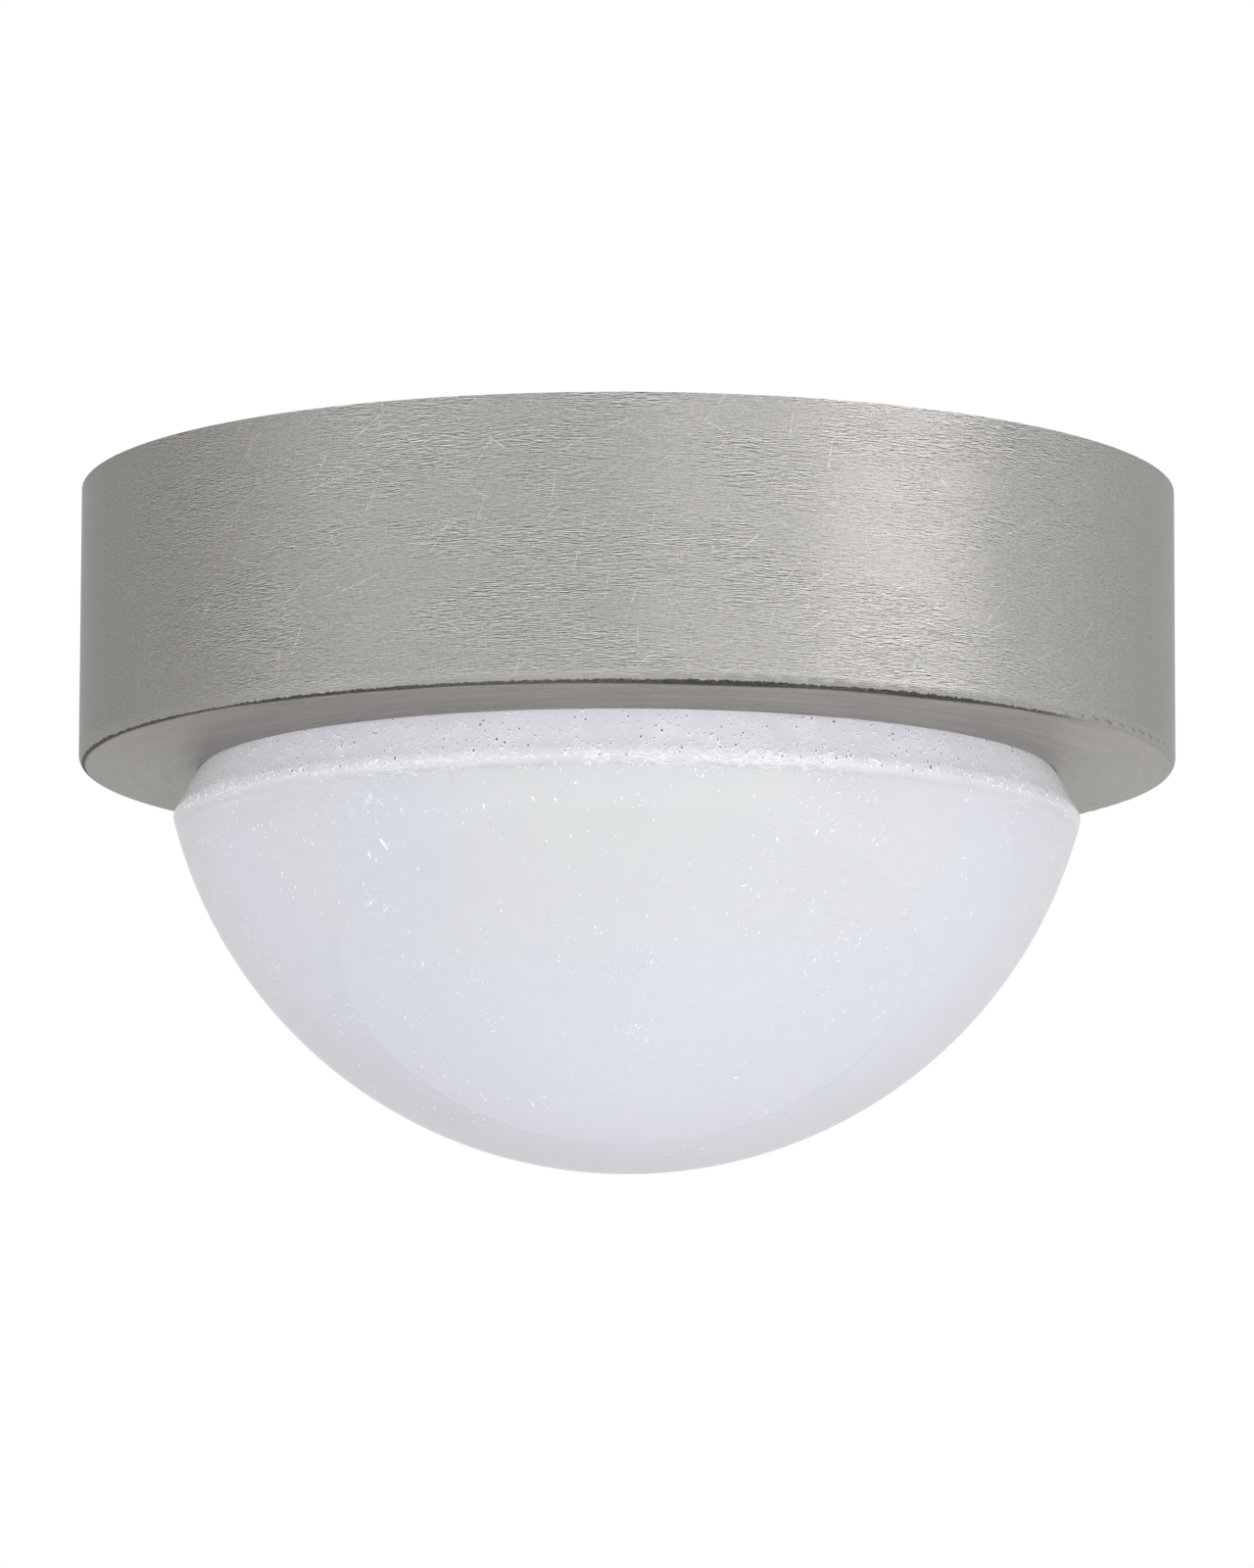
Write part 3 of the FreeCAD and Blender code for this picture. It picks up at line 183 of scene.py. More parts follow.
class Finish(Nodes):
    """A material that is being built, with the place of a point on the piece."""

    def __init__(self, name):
        self.material = bpy.data.materials.new(name)
        self.material.use_nodes = True
        super().__init__(self.material.node_tree)
        self.place = self.add("ShaderNodeTexCoord", output="Object")
        self.x, self.y, self.z = (self.split(self.place, axis) for axis in range(3))

    def split(self, vector, axis):
        """One of a vector's three numbers."""
        return self.add("ShaderNodeSeparateXYZ", None, {"Vector": vector}, output=axis)

    def vector(self, x, y, z):
        """A vector from three numbers."""
        return self.add("ShaderNodeCombineXYZ", None, {"X": x, "Y": y, "Z": z})

    def scaled(self, scales):
        """The point's place, times a number along each axis."""
        return self.vector(self.x * scales[0], self.y * scales[1], self.z * scales[2])

    def noise(self, place, scale=1.0, detail=2.0, rough=0.5):
        """Noise from 0 to 1."""
        return self.add("ShaderNodeTexNoise", None,
                        {"Vector": place, "Scale": scale, "Detail": detail, "Roughness": rough})

    def pattern(self, scales, detail=2.0, rough=0.5):
        """Noise from 0 to 1 that repeats so many times a metre along x, y and z."""
        return self.noise(self.scaled(scales), detail=detail, rough=rough)

    def drawn_out(self, scales, across, detail=2.0, rough=0.5):
        """Noise that repeats so many times a metre round the light, and so many along another way."""
        place = self.vector(self.x * scales[0], self.y * scales[0], across * scales[1])
        return self.noise(place, detail=detail, rough=rough)

    def chance(self, x, y):
        """A random number for a pair of whole numbers."""
        place = self.vector(x, y, 0.0)
        return self.add("ShaderNodeTexWhiteNoise", {"noise_dimensions": "2D"}, {"Vector": place})

    def facing_edge(self):
        """0 where the surface faces the view, and 1 at its outline."""
        return self.add("ShaderNodeLayerWeight", None, {"Blend": 0.5}, output="Facing")

    def radius(self):
        """The point's distance from the light's axis."""
        return (self.x * self.x + self.y * self.y) ** 0.5

    def mix(self, share, first, second, blend="MIX"):
        """A colour between two."""
        settings = {"data_type": "RGBA", "blend_type": blend}
        return self.add("ShaderNodeMix", settings, {0: share, 6: first, 7: second}, output=2)

    def shaded(self, colour, level):
        """A colour times a level."""
        grey = self.add("ShaderNodeCombineColor", None, {0: level, 1: level, 2: level})
        return self.mix(1.0, colour, grey, "MULTIPLY")

    def bump(self, height, distance, strength):
        """A normal from a height, with the height's full depth in metres."""
        return self.add("ShaderNodeBump", None,
                        {"Height": height, "Distance": distance, "Strength": strength})

    def principled(self, **sockets):
        """A Principled shader. A socket's name has underscores for its spaces."""
        named = {name.replace("_", " "): value for name, value in sockets.items()}
        return self.add("ShaderNodeBsdfPrincipled", None, named)

    def clear(self, colour=WHITE):
        """A shader that light goes straight through."""
        return self.add("ShaderNodeBsdfTransparent", None, {"Color": colour})

    def diffuse(self, colour):
        """A plain matt shader."""
        return self.add("ShaderNodeBsdfDiffuse", None, {"Color": colour, "Roughness": 0.0})

    def translucent(self, colour):
        """A matt shader that is lit from behind."""
        return self.add("ShaderNodeBsdfTranslucent", None, {"Color": colour})

    def blend(self, share, first, second):
        """A shader between two."""
        return self.add("ShaderNodeMixShader", None, {0: share, 1: first, 2: second})

    def lamp_clear(self, shader):
        """A glass shader that lets the light of the lamps straight through."""
        lamp_ray = self.add("ShaderNodeLightPath", output="Is Shadow Ray")
        return self.blend(lamp_ray, shader, self.clear())

    def done(self, shader):
        """Connect the shader and hand the material over."""
        self.add("ShaderNodeOutputMaterial", None, {"Surface": shader})
        return self.material


def tone(colour, share):
    """A colour made darker or lighter."""
    return tuple(min(1.0, value * share) for value in colour[:3]) + (1.0,)


# ---- what a user may change ----

def colour_choice(name, description, default):
    """A colour property."""
    return bpy.props.FloatVectorProperty(name=name, description=description, default=default,
                                         subtype="COLOR", size=4, min=0.0, max=1.0)


def length_choice(name, description, default):
    """A length property, in metres."""
    return bpy.props.FloatProperty(name=name, description=description, default=default,
                                   unit="LENGTH", subtype="DISTANCE", precision=5)


def count_choice(name, description, default):
    """A number of pieces."""
    return bpy.props.IntProperty(name=name, description=description, default=default, min=0)


def angle_choice(name, description, default):
    """An angle property, in radians."""
    return bpy.props.FloatProperty(name=name, description=description, default=default, subtype="ANGLE")


class RingChoices(bpy.types.PropertyGroup):
    flange: colour_choice("Flange", "Colour of the nickel on the flange below", (0.405, 0.383, 0.345, 1.0))
    nickel: colour_choice("Nickel", "Colour of the brushed nickel", (0.405, 0.392, 0.376, 1.0))
    # The bend line is a painted dark reflection along the bend.
    line: colour_choice("Bend line", "Colour of the dark line along the bend", (0.075, 0.070, 0.060, 1.0))
    mark_length: length_choice("Mark length", "Length of a brush mark", 2.1 * MM)
    mark_width: length_choice("Mark width", "Width of a brush mark", 0.175 * MM)
    line_height: length_choice("Line height", "Height of the dark line above the base", 0.38 * MM)
    line_width: length_choice("Line width", "Half the width of the dark line", 0.40 * MM)
    scratch_width: length_choice("Scratch width", "Width of a hairline scratch", 0.15 * MM)
    roughness: bpy.props.FloatProperty(name="Roughness", description="How dull the nickel is",
                                       default=0.33, min=0.0, max=1.0, subtype="FACTOR")


class ShadeChoices(bpy.types.PropertyGroup):
    glass: colour_choice("Glass", "Tint of the clear glass", (0.985, 0.985, 0.995, 1.0))
    haze: colour_choice("Collar haze", "Colour of the haze inside the collar", (0.94, 0.935, 0.985, 1.0))
    low_haze: colour_choice("Crease haze", "Colour of the haze at the crease", (0.74, 0.74, 0.775, 1.0))
    rim_haze: colour_choice("Edge haze", "Colour of the haze in the bowl", (0.80, 0.81, 0.86, 1.0))
    # colour of the painted shade line along the liner's rim
    painted_rim_shade: colour_choice("Rim line", "Colour of the line at the liner's rim", (0.56, 0.59, 0.59, 1.0))
    pale: colour_choice("Liner", "Colour of the liner", (0.82, 0.832, 0.815, 1.0))
    # also the colour of the painted shade towards the liner's bottom
    lavender_and_painted_shade: colour_choice("Liner shade", "Colour of the liner's clouds", (0.785, 0.81, 0.93, 1.0))
    collar_bubbles: count_choice("Collar bubbles", "Large bubbles round the collar", 460)
    collar_specks: count_choice("Collar specks", "Fine seeds round the collar", 4400)
    bowl_specks: count_choice("Bowl specks", "Fine seeds in the bowl", 2600)
    bubble_radius: length_choice("Bubble radius", "Radius of a middling bubble", 0.30 * MM)
    speck_radius: length_choice("Speck radius", "Radius of a middling speck", 0.15 * MM)


class InsideChoices(bpy.types.PropertyGroup):
    enamel: colour_choice("Enamel", "Colour of the pan's enamel", (0.82, 0.82, 0.80, 1.0))
    zinc: colour_choice("Zinc", "Colour of the zinc plate", (0.55, 0.56, 0.57, 1.0))
    aluminium: colour_choice("Aluminium", "Colour of the bare aluminium", (0.72, 0.73, 0.74, 1.0))


class StudioChoices(bpy.types.PropertyGroup):
    distance: length_choice("Camera distance", "From the base's middle to the camera", 18 * RING_RADIUS)
    elevation: angle_choice("Camera drop", "Angle of the camera below the base", 0.1550)
    pitch: angle_choice("Camera pitch", "Angle that the camera looks up", 0.1538)
    roll: angle_choice("Camera roll", "Turn of the camera about its view", 0.0033)
    lens: bpy.props.FloatProperty(name="Lens", description="Focal length on a 36 mm sensor",
                                  default=226.4, unit="CAMERA")
    floor_drop: length_choice("Floor", "Depth of the floor below the ceiling", 2.7)
    plain_light: bpy.props.FloatProperty(name="Plain light", description="Strength of the light all round",
                                         default=0.95, min=0.0)
    scrim_left: colour_choice("Scrim left", "Grey of the cloth on the left", (0.64, 0.634, 0.628, 1.0))
    scrim_right: colour_choice("Scrim right", "Grey of the cloth on the right", (0.78, 0.785, 0.78, 1.0))


CHOICES = {
    "light_ring": RingChoices,
    "light_shade": ShadeChoices,
    "light_inside": InsideChoices,
    "light_studio": StudioChoices,
}


# ---- the brushed ring ----

# Hairline scratches: slant in degrees, length, spacing, and the share of places that have one.
SCRATCHES = ((62, 9 * MM, 7 * MM, 0.20), (47, 12 * MM, 8 * MM, 0.24), (27, 15 * MM, 7 * MM, 0.24),
             (80, 6 * MM, 6 * MM, 0.14), (-38, 5 * MM, 7 * MM, 0.10))
# How far the scratches bend, and a step that keeps the layers' random rows apart.
SCRATCH_SWING = 10 * MM
SCRATCH_ROW_STEP = 17

# How often the patterns of the nickel repeat along x, y and z, per metre.
SCRATCH_BENDS = (38, 38, 38)
SCRATCH_BEADS = (1500, 1500, 1500)
SCRATCH_FADES = (150, 150, 150)
SWAYS = (90, 90, 300)
PATCHES = (36, 36, 80)
SAND = (3600, 3600, 3600)
DRIFTS = (16, 16, 22)
LINE_SWELLS = (26, 26, 0)
# The same, along the brushing and across it.
GRAIN = (1100, 7000)
STREAKS = (90, 1100)
TURNED_LINES = (45, 600)
RAGGED_EDGE = (1300, 500)
HIGHLIGHT_FLECKS = (1500, 2500)

# How much each pattern lightens and darkens the nickel.
# painted light and shade: how strongly the lit and shaded sides of the brush marks show in the colour
PAINTED_RELIEF_SHADE_TONE = 4.6
GRAIN_TONE = 0.45
PATCH_GRAIN_TONE = 0.4
SAND_TONE = 0.58
DRIFT_TONE = 0.10
STREAK_TONE = 0.28
TURNED_TONE = 1.1
# Painted light on the flange: how much lighter it is at both ends, and from the middle to the right.
PAINTED_FLANGE_END_LIGHT = 0.26
PAINTED_FLANGE_RIGHT_LIGHT = 0.09

# A brush mark: how far its shaded side lies from its lit one, in widths, how wavy it is, and how deep.
EMBOSS_SHIFT = 0.35
BRUSH_SWAY = 1.1 * MM
EMBOSS_DEPTH = 0.07 * MM

# The lower bend, with a painted dark reflection along it and painted highlights over it: how far in it
# reaches, how ragged its line is, where along the ring the line is thickest, how high over it the
# highlight flecks lie, and the colour of the painted pale highlight band.
BEND_REACH = 2.4 * MM
LINE_RAGGEDNESS = 0.75 * MM
LINE_MIDDLE = 0.12 * RING_RADIUS
HIGHLIGHT_FLECK_HEIGHT = 0.12 * MM
PAINTED_HIGHLIGHT_NICKEL = (0.50, 0.485, 0.45, 1.0)


def hairlines(finish, width):
    """Long thin scratches: here and there a piece of a slanted, slightly bent line."""
    around = finish.x.math("ARCTAN2", finish.x, 0 - finish.y) * RING_RADIUS
    bend = (finish.pattern(SCRATCH_BENDS, detail=0.0) - 0.5) * SCRATCH_SWING
    beads = finish.pattern(SCRATCH_BEADS, detail=0.0).rise(0.36, 0.62)
    fades = finish.pattern(SCRATCH_FADES, detail=0.0).rise(0.30, 0.65)
    total = 0.0
    for index, (slant, length, spacing, share) in enumerate(SCRATCHES):
        cosine, sine = math.cos(math.radians(slant)), math.sin(math.radians(slant))
        across = (finish.z * cosine - around * sine + bend) / spacing
        along = (around * cosine + finish.z * sine) / length
        row = across.math("FLOOR", across)
        along = along + finish.chance(row, index + 0.5)
        part = along.math("FLOOR", along)
        lot = finish.chance(row + SCRATCH_ROW_STEP * index, part)
        shown = lot.math("GREATER_THAN", lot, 1 - share)
        offset = abs(across - row - 0.5) * spacing
        line = 1 - offset.rise(0.1 * width, 0.55 * width)
        taper = (0.5 - abs(along - part - 0.5)).rise(0.0, 0.3)
        total = total + line * taper * shown
    return (total * (0.2 + 0.8 * beads) * (0.3 + 0.7 * fades)).clamped()


def brush_marks(finish, choices, outline):
    """Short marks of the brush as a relief, each with a painted lit side and a painted shaded side."""
    scales = (1 / choices.mark_length, 1 / choices.mark_width)
    shifted = outline + EMBOSS_SHIFT * choices.mark_width
    lit = finish.drawn_out(scales, outline, rough=0.65)
    marks = lit - finish.drawn_out(scales, shifted, rough=0.65)
    return marks * (0.7 + abs(marks) * 7.0)


def painted_bend_reflection(finish, choices):
    """A ragged painted dark reflection along the bend that fades in places, the height above it, and where
    it swells.
    """
    height = finish.z - BEND_LEVEL
    ragged = finish.drawn_out(RAGGED_EDGE, finish.z, detail=3.0, rough=0.7) - 0.5
    swell = finish.pattern(LINE_SWELLS, detail=1.0).rise(0.32, 0.68)
    away = abs(finish.x - LINE_MIDDLE).rise(0.25 * RING_RADIUS, 0.70 * RING_RADIUS)
    thick = (0.60 + 0.40 * swell) * (1 - 0.45 * away) * choices.line_width
    above = height + ragged * LINE_RAGGEDNESS - choices.line_height - thick
    under = choices.line_height - thick - height
    line = (1 - above.rise(-0.08 * MM, 0.08 * MM)) * (1 - under.rise(-0.10 * MM, 0.10 * MM))
    return line * (0.8 + 0.2 * swell), above, swell


def brushed_nickel(choices):
    """Satin nickel, brushed round the ring, with a dark line along the lower bend."""
    finish = Finish("brushed nickel")
    nickel = tuple(choices.nickel)
    radius = finish.radius()
    # The outline runs down the wall and then in along the flange.
    sway = finish.pattern(SWAYS, detail=1.0) - 0.5
    outline = finish.z + radius + sway * BRUSH_SWAY
    height = finish.z - OPENING_LEVEL
    wall = height.rise(1.5 * MM, 2.3 * MM)
    below = 1 - height.rise(1.0 * MM, 1.6 * MM)
    side = abs(finish.x).rise(0.62 * RING_RADIUS, 0.95 * RING_RADIUS)

    # the brushing, stronger in patches and weaker at the sides, with the painted lit and shaded sides of
    # its marks
    patches = finish.pattern(PATCHES).rise(0.36, 0.66)
    strength = (0.25 + 0.75 * patches) * (0.25 + 0.75 * wall) * (1 - 0.72 * side)
    mark_relief_and_shade = brush_marks(finish, choices, outline) * strength
    grain = finish.drawn_out(GRAIN, outline, detail=1.0) - 0.5
    sand = finish.pattern(SAND, detail=1.0) - 0.5
    drift = finish.pattern(DRIFTS) - 0.5
    streaks = finish.drawn_out(STREAKS, outline) - 0.5
    level = 1.0 + mark_relief_and_shade * PAINTED_RELIEF_SHADE_TONE + grain * (GRAIN_TONE + PATCH_GRAIN_TONE * strength)
    level = level + sand * SAND_TONE + drift * DRIFT_TONE + streaks * strength * STREAK_TONE

    # the flange, turned in fine rings, with painted light towards the right and the ends
    turned = finish.drawn_out(TURNED_LINES, radius, detail=4.0, rough=0.75) - 0.5
    painted_flange_light = side * PAINTED_FLANGE_END_LIGHT + finish.x * (PAINTED_FLANGE_RIGHT_LIGHT / RING_RADIUS)
    level = level + below * (turned * (TURNED_TONE - 0.6 * side) + painted_flange_light)
    colour = finish.shaded(finish.mix(below, nickel, tuple(choices.flange)), level)

    # the scratches, on the wall
    scratch = hairlines(finish, choices.scratch_width) * wall * (1 - 0.6 * side)
    colour = finish.mix(scratch * 0.9, colour, tone(nickel, 1.95))

    # the bend: a painted pale highlight band and painted highlight flecks over a painted dark reflection
    # line
    outer = (radius - (RING_RADIUS - BEND_REACH)).rise(0.0, 0.6 * MM)
    kept = 1 - 0.9 * (finish.x / RING_RADIUS).rise(0.70, 0.84)
    line, above, swell = painted_bend_reflection(finish, choices)
    line = (line * outer * kept * (1 + grain * 1.2)).clamped()
    highlight_flecks = finish.drawn_out(HIGHLIGHT_FLECKS, finish.z, detail=0.0).rise(0.55, 0.68)
    highlight_flecks = highlight_flecks * (1 - abs(above - HIGHLIGHT_FLECK_HEIGHT).rise(0.05 * MM, 0.25 * MM)) * swell
    painted_highlight_band = above.rise(0.0, 0.2 * MM) * (1 - above.rise(0.9 * MM, 2.4 * MM)) * outer
    colour = finish.mix(painted_highlight_band * (0.15 + 0.35 * patches), colour, PAINTED_HIGHLIGHT_NICKEL)
    colour = finish.mix(line, colour, tuple(choices.line))
    colour = finish.mix(highlight_flecks * 0.6 * outer * kept, colour, tone(nickel, 1.8))

    rough = choices.roughness + drift * 0.10 + grain * 0.12 + line * 0.2
    shader = finish.principled(Base_Color=colour, Metallic=1.0, Roughness=rough,
                               Normal=finish.bump(mark_relief_and_shade, EMBOSS_DEPTH, 0.6),
                               Anisotropic=0.45, Anisotropic_Rotation=0.25,
                               Specular_Tint=(0.75, 0.75, 0.75, 1.0))
    return finish.done(shader)


# ---- the glass and its liner ----

# How often the patterns of the glass and the liner repeat along x, y and z, per metre.
RIPPLES = (70, 70, 50)
WISPS = (300, 300, 1100)
WISP_CROWDS = (60, 60, 60)
CLOUDS = (22, 22, 30)

# How much of the wall's inner skin each haze hides, from 0 to 1, and how far the haze of the outline
# spreads in, where 1 is the part that faces the view.
BOWL_HAZE = 0.06
COLLAR_HAZE = 0.84
LINE_HAZE = 0.3
EDGE_SPREAD = 0.265

# The soft painted shade line along the liner's rim: how far it lies below the crease, and its greatest
# share.
PAINTED_RIM_SHADE_DROP = 1.65 * MM
PAINTED_RIM_SHADE_SHARE = 0.55
# How far below the crease the wisps are thickest, and how dense they are there.
WISP_DROP = 0.4 * MM
WISP_SHARE = 0.6

# Painted light: how strongly the wall of the collar glows, more towards the ring, and how strongly a seed
# glows.
PAINTED_COLLAR_GLOW = 0.12
PAINTED_SEED_GLOW = 0.17

# The clear part of a seed's skin, and half the width over which two stretches of the wall meet.
SEED_CLEAR = (0.98, 0.98, 0.99, 1.0)
SEAM = 0.1 * MM


def inside_of_wall(finish):
    """A mask of the inner skin of the glass wall."""
    radius = finish.radius()
    drop = finish.z - DOME_CENTRE
    ball = (radius * radius + drop * drop) ** 0.5
    bowl = 1 - (ball - (DOME_RADIUS - GLASS_WALL / 2)).rise(-SEAM, SEAM)
    cone = radius - (CREASE_RADIUS - (finish.z - CREASE_LEVEL) * COLLAR_SLOPE)
    collar = 1 - (cone + GLASS_WALL / 2).rise(-SEAM, SEAM)
    above = (finish.z - CREASE_LEVEL).rise(-SEAM, SEAM)
    return bowl * (1 - above) + collar * above


def wisps_by_crease(finish, height):
    """Thin milky wisps in the wall, in crowds near the crease."""
    wisps = 1 - abs(finish.pattern(WISPS, rough=0.6) - 0.5).rise(0.01, 0.045)
    crowd = finish.pattern(WISP_CROWDS, detail=1.0).rise(0.38, 0.62)
    near = 1 - abs(height + WISP_DROP).rise(0.6 * MM, 3.0 * MM)
    return wisps * crowd * near * WISP_SHARE


def seeded_glass(choices):
    """Clear glass with a milky haze inside, thickest round the collar and at the bowl's outline, with a
    painted shade line at the liner's rim and a painted glow in the collar.
    """
    finish = Finish("seeded glass")
    ripple = finish.pattern(RIPPLES, detail=1.0)
    glass = finish.principled(Base_Color=tuple(choices.glass), Roughness=0.02, IOR=1.48,
                              Transmission_Weight=1.0, Normal=finish.bump(ripple, 0.08 * MM, 0.4))

    height = finish.z - CREASE_LEVEL
    collar = height.rise(-2.2 * MM, -1.2 * MM)
    # painted shade: a soft grey line along the liner's rim
    painted_rim_shade = 1 - abs(height + PAINTED_RIM_SHADE_DROP).rise(0.10 * MM, 0.75 * MM)
    painted_rim_shade = painted_rim_shade * (1 - 0.8 * abs(finish.x).rise(0.30 * RING_RADIUS, 0.65 * RING_RADIUS))
    wisps = wisps_by_crease(finish, height)
    haze = BOWL_HAZE + collar * COLLAR_HAZE + (wisps + painted_rim_shade) * LINE_HAZE
    haze = haze + finish.facing_edge().rise(0.0, EDGE_SPREAD)
    haze = haze.clamped() * inside_of_wall(finish)

    upper = height.rise(-2.0 * MM, 3.0 * MM)
    white = finish.mix(upper, tuple(choices.low_haze), tuple(choices.haze))
    white = finish.mix(collar, tuple(choices.rim_haze), white)
    white = finish.mix(painted_rim_shade * PAINTED_RIM_SHADE_SHARE, white, tuple(choices.painted_rim_shade))
    white = finish.mix(wisps, white, WHITE)
    # painted light: the collar's haze glows, more towards the ring
    painted_collar_light = finish.mix(height.rise(0.0, CREASE_DROP), BLACK, tuple(choices.haze))
    milk = finish.principled(Base_Color=white, Roughness=1.0, Specular_IOR_Level=0.0,
                             Emission_Color=painted_collar_light, Emission_Strength=PAINTED_COLLAR_GLOW)
    return finish.done(finish.lamp_clear(finish.blend(haze, glass, milk)))


def painted_glint(finish):
    """White that is lit from both sides, with painted light that makes it glow a little brighter than its
    surroundings.
    """
    front = finish.principled(Base_Color=(0.90, 0.90, 0.90, 1.0), Roughness=1.0, Specular_IOR_Level=0.0,
                              Emission_Color=WHITE, Emission_Strength=PAINTED_SEED_GLOW)
    return finish.blend(0.3, front, finish.translucent((0.99, 0.99, 0.99, 1.0)))


def bubble_skin():
    """The skin of a bubble in the glass: a painted dark heart with a painted white glint as its halo that
    fades to clear.
    """
    finish = Finish("bubble skin")
    uneven = (finish.noise(finish.place, scale=900, detail=1.0) - 0.5) * 0.3
    edge = finish.facing_edge() + uneven
    # painted shade: the bubble's dark heart
    painted_shade_heart = finish.diffuse((0.20, 0.20, 0.23, 1.0))
    middle = finish.blend(edge.rise(0.06, 0.17), painted_shade_heart, painted_glint(finish))
    skin = finish.blend(edge.rise(0.40, 0.95), middle, finish.clear(SEED_CLEAR))
    return finish.done(finish.lamp_clear(skin))


def speck_skin():
    """The skin of a fine seed: a painted white glint below a painted grey shade along its top, clearer in
    places.
    """
    finish = Finish("speck skin")
    normal = finish.add("ShaderNodeNewGeometry", output="Normal")
    uneven = (finish.noise(finish.place, scale=500, detail=1.0) - 0.5) * 1.2
    # painted shade along the seed's top, over a painted glint below
    upper = (finish.split(normal, 2) + uneven * 0.3).rise(0.45, 0.75)
    painted_glint_and_shade = finish.blend(upper, painted_glint(finish), finish.diffuse((0.34, 0.34, 0.38, 1.0)))
    skin = finish.blend((finish.facing_edge() + uneven).rise(0.35, 0.95), painted_glint_and_shade, finish.clear(SEED_CLEAR))
    return finish.done(finish.lamp_clear(skin))


def clear_adhesive():
    """Clear silicone, as the bead at the neck."""
    finish = Finish("clear adhesive")
    fine = finish.noise(finish.place, scale=700, detail=1.0)
    gel = finish.principled(Base_Color=(0.86, 0.86, 0.88, 1.0), Roughness=0.2,
                            Normal=finish.bump(fine, 0.03 * MM, 0.3))
    return finish.done(finish.blend(0.002 + fine * 0.008, finish.clear((0.99, 0.99, 0.99, 1.0)), gel))


def white_liner(choices):
    """Smooth white plastic with soft lavender clouds, and a deeper lavender towards the bottom that is
    painted shade.
    """
    finish = Finish("white liner")
    clouds = finish.pattern(CLOUDS, detail=2.5)
    # painted shade: a deeper lavender towards the bottom
    depth = (LINER_RIM - finish.z) / (LINER_RIM - LINER_BOTTOM)
    lavender_and_painted_shade = (clouds.rise(0.44, 0.66) * 0.4 + depth.rise(0.30, 1.05) * 0.8).clamped()
    colour = finish.mix(lavender_and_painted_shade, tuple(choices.pale), tuple(choices.lavender_and_painted_shade))
    fine = finish.noise(finish.place, scale=900)
    skin = finish.principled(Base_Color=colour, Roughness=0.32 + fine * 0.1,
                             Normal=finish.bump(fine, 0.02 * MM, 0.3))
    neck = (finish.z - LINER_RIM).rise(-1.0 * MM, 1.0 * MM)
    return finish.done(finish.blend(0.06 + neck * 0.3, skin, finish.translucent((0.93, 0.94, 0.96, 1.0))))


# ---- what the ring hides ----

# How often the rolling marks of sheet metal repeat along x, y and z, per metre.
ROLLING_MARKS = (2600, 2600, 500)


def plain_plastic(name, colour, rough):
    """Moulded plastic or rubber with a fine texture and a little unevenness."""
    finish = Finish(name)
    fine = finish.noise(finish.place, scale=1800) - 0.5
    slow = finish.noise(finish.place, scale=130) - 0.5
    colour = finish.shaded(colour, 1.0 + fine * 0.08 + slow * 0.12)
    return finish.done(finish.principled(Base_Color=colour, Roughness=rough + slow * 0.15,
                                         Normal=finish.bump(fine, 0.05 * MM, 0.35)))


def plated_metal(name, colour, rough):
    """Plated or bare metal with fine rolling marks and cloudy plating."""
    finish = Finish(name)
    grain = finish.pattern(ROLLING_MARKS) - 0.5
    clouds = finish.noise(finish.place, scale=160, detail=3.0) - 0.5
    colour = finish.shaded(colour, 1.0 + grain * 0.18 + clouds * 0.3)
    return finish.done(finish.principled(Base_Color=colour, Metallic=1.0, Roughness=rough + clouds * 0.2,
                                         Normal=finish.bump(grain, 0.03 * MM, 0.4)))


def enamel(name, colour):
    """Baked enamel with a faint orange peel."""
    finish = Finish(name)
    peel = finish.noise(finish.place, scale=420, detail=1.5)
    dust = finish.noise(finish.place, scale=60, detail=3.0) - 0.5
    colour = finish.shaded(colour, 1.0 + dust * 0.06)
    return finish.done(finish.principled(Base_Color=colour, Roughness=0.3 + dust * 0.1,
                                         Normal=finish.bump(peel, 0.04 * MM, 0.5),
                                         Coat_Weight=0.3, Coat_Roughness=0.15))


# The moulded and coated pieces: a finish's name, colour and roughness, and the nodes that have it.
PLASTICS = (
    ("grey silicone", (0.30, 0.33, 0.37, 1.0), 0.7, ["thermal_pad"]),
    ("white solder mask", (0.86, 0.86, 0.83, 1.0), 0.35, ["led_board"]),
    ("phosphor", (0.82, 0.58, 0.08, 1.0), 0.3, ["led_chips"]),
    ("white nylon", (0.75, 0.74, 0.68, 1.0), 0.5, ["board_connector", "terminal_block"]),
    ("red insulation", (0.45, 0.02, 0.015, 1.0), 0.4, ["positive_lead"]),
    ("black insulation", (0.015, 0.015, 0.015, 1.0), 0.4, ["negative_lead", "line_lead"]),
    ("white insulation", (0.78, 0.78, 0.75, 1.0), 0.4, ["neutral_lead"]),
    ("green insulation", (0.02, 0.20, 0.05, 1.0), 0.4, ["earth_lead"]),
    ("black rubber", (0.02, 0.02, 0.02, 1.0), 0.7, ["lead_grommet"]),
    ("white plastic", (0.74, 0.74, 0.71, 1.0), 0.5, ["driver_case", "driver_cover"]),
    ("green circuit board", (0.02, 0.15, 0.05, 1.0), 0.35, ["driver_board"]),
    ("capacitor sleeve", (0.02, 0.02, 0.04, 1.0), 0.35, ["driver_capacitors"]),
    ("ferrite", (0.06, 0.06, 0.06, 1.0), 0.6, ["driver_transformer", "driver_choke"]),
    ("chip epoxy", (0.02, 0.02, 0.02, 1.0), 0.5, ["driver_chips"]),
    ("green screw", (0.03, 0.25, 0.07, 1.0), 0.35, ["strap_ground_screw"]),
)
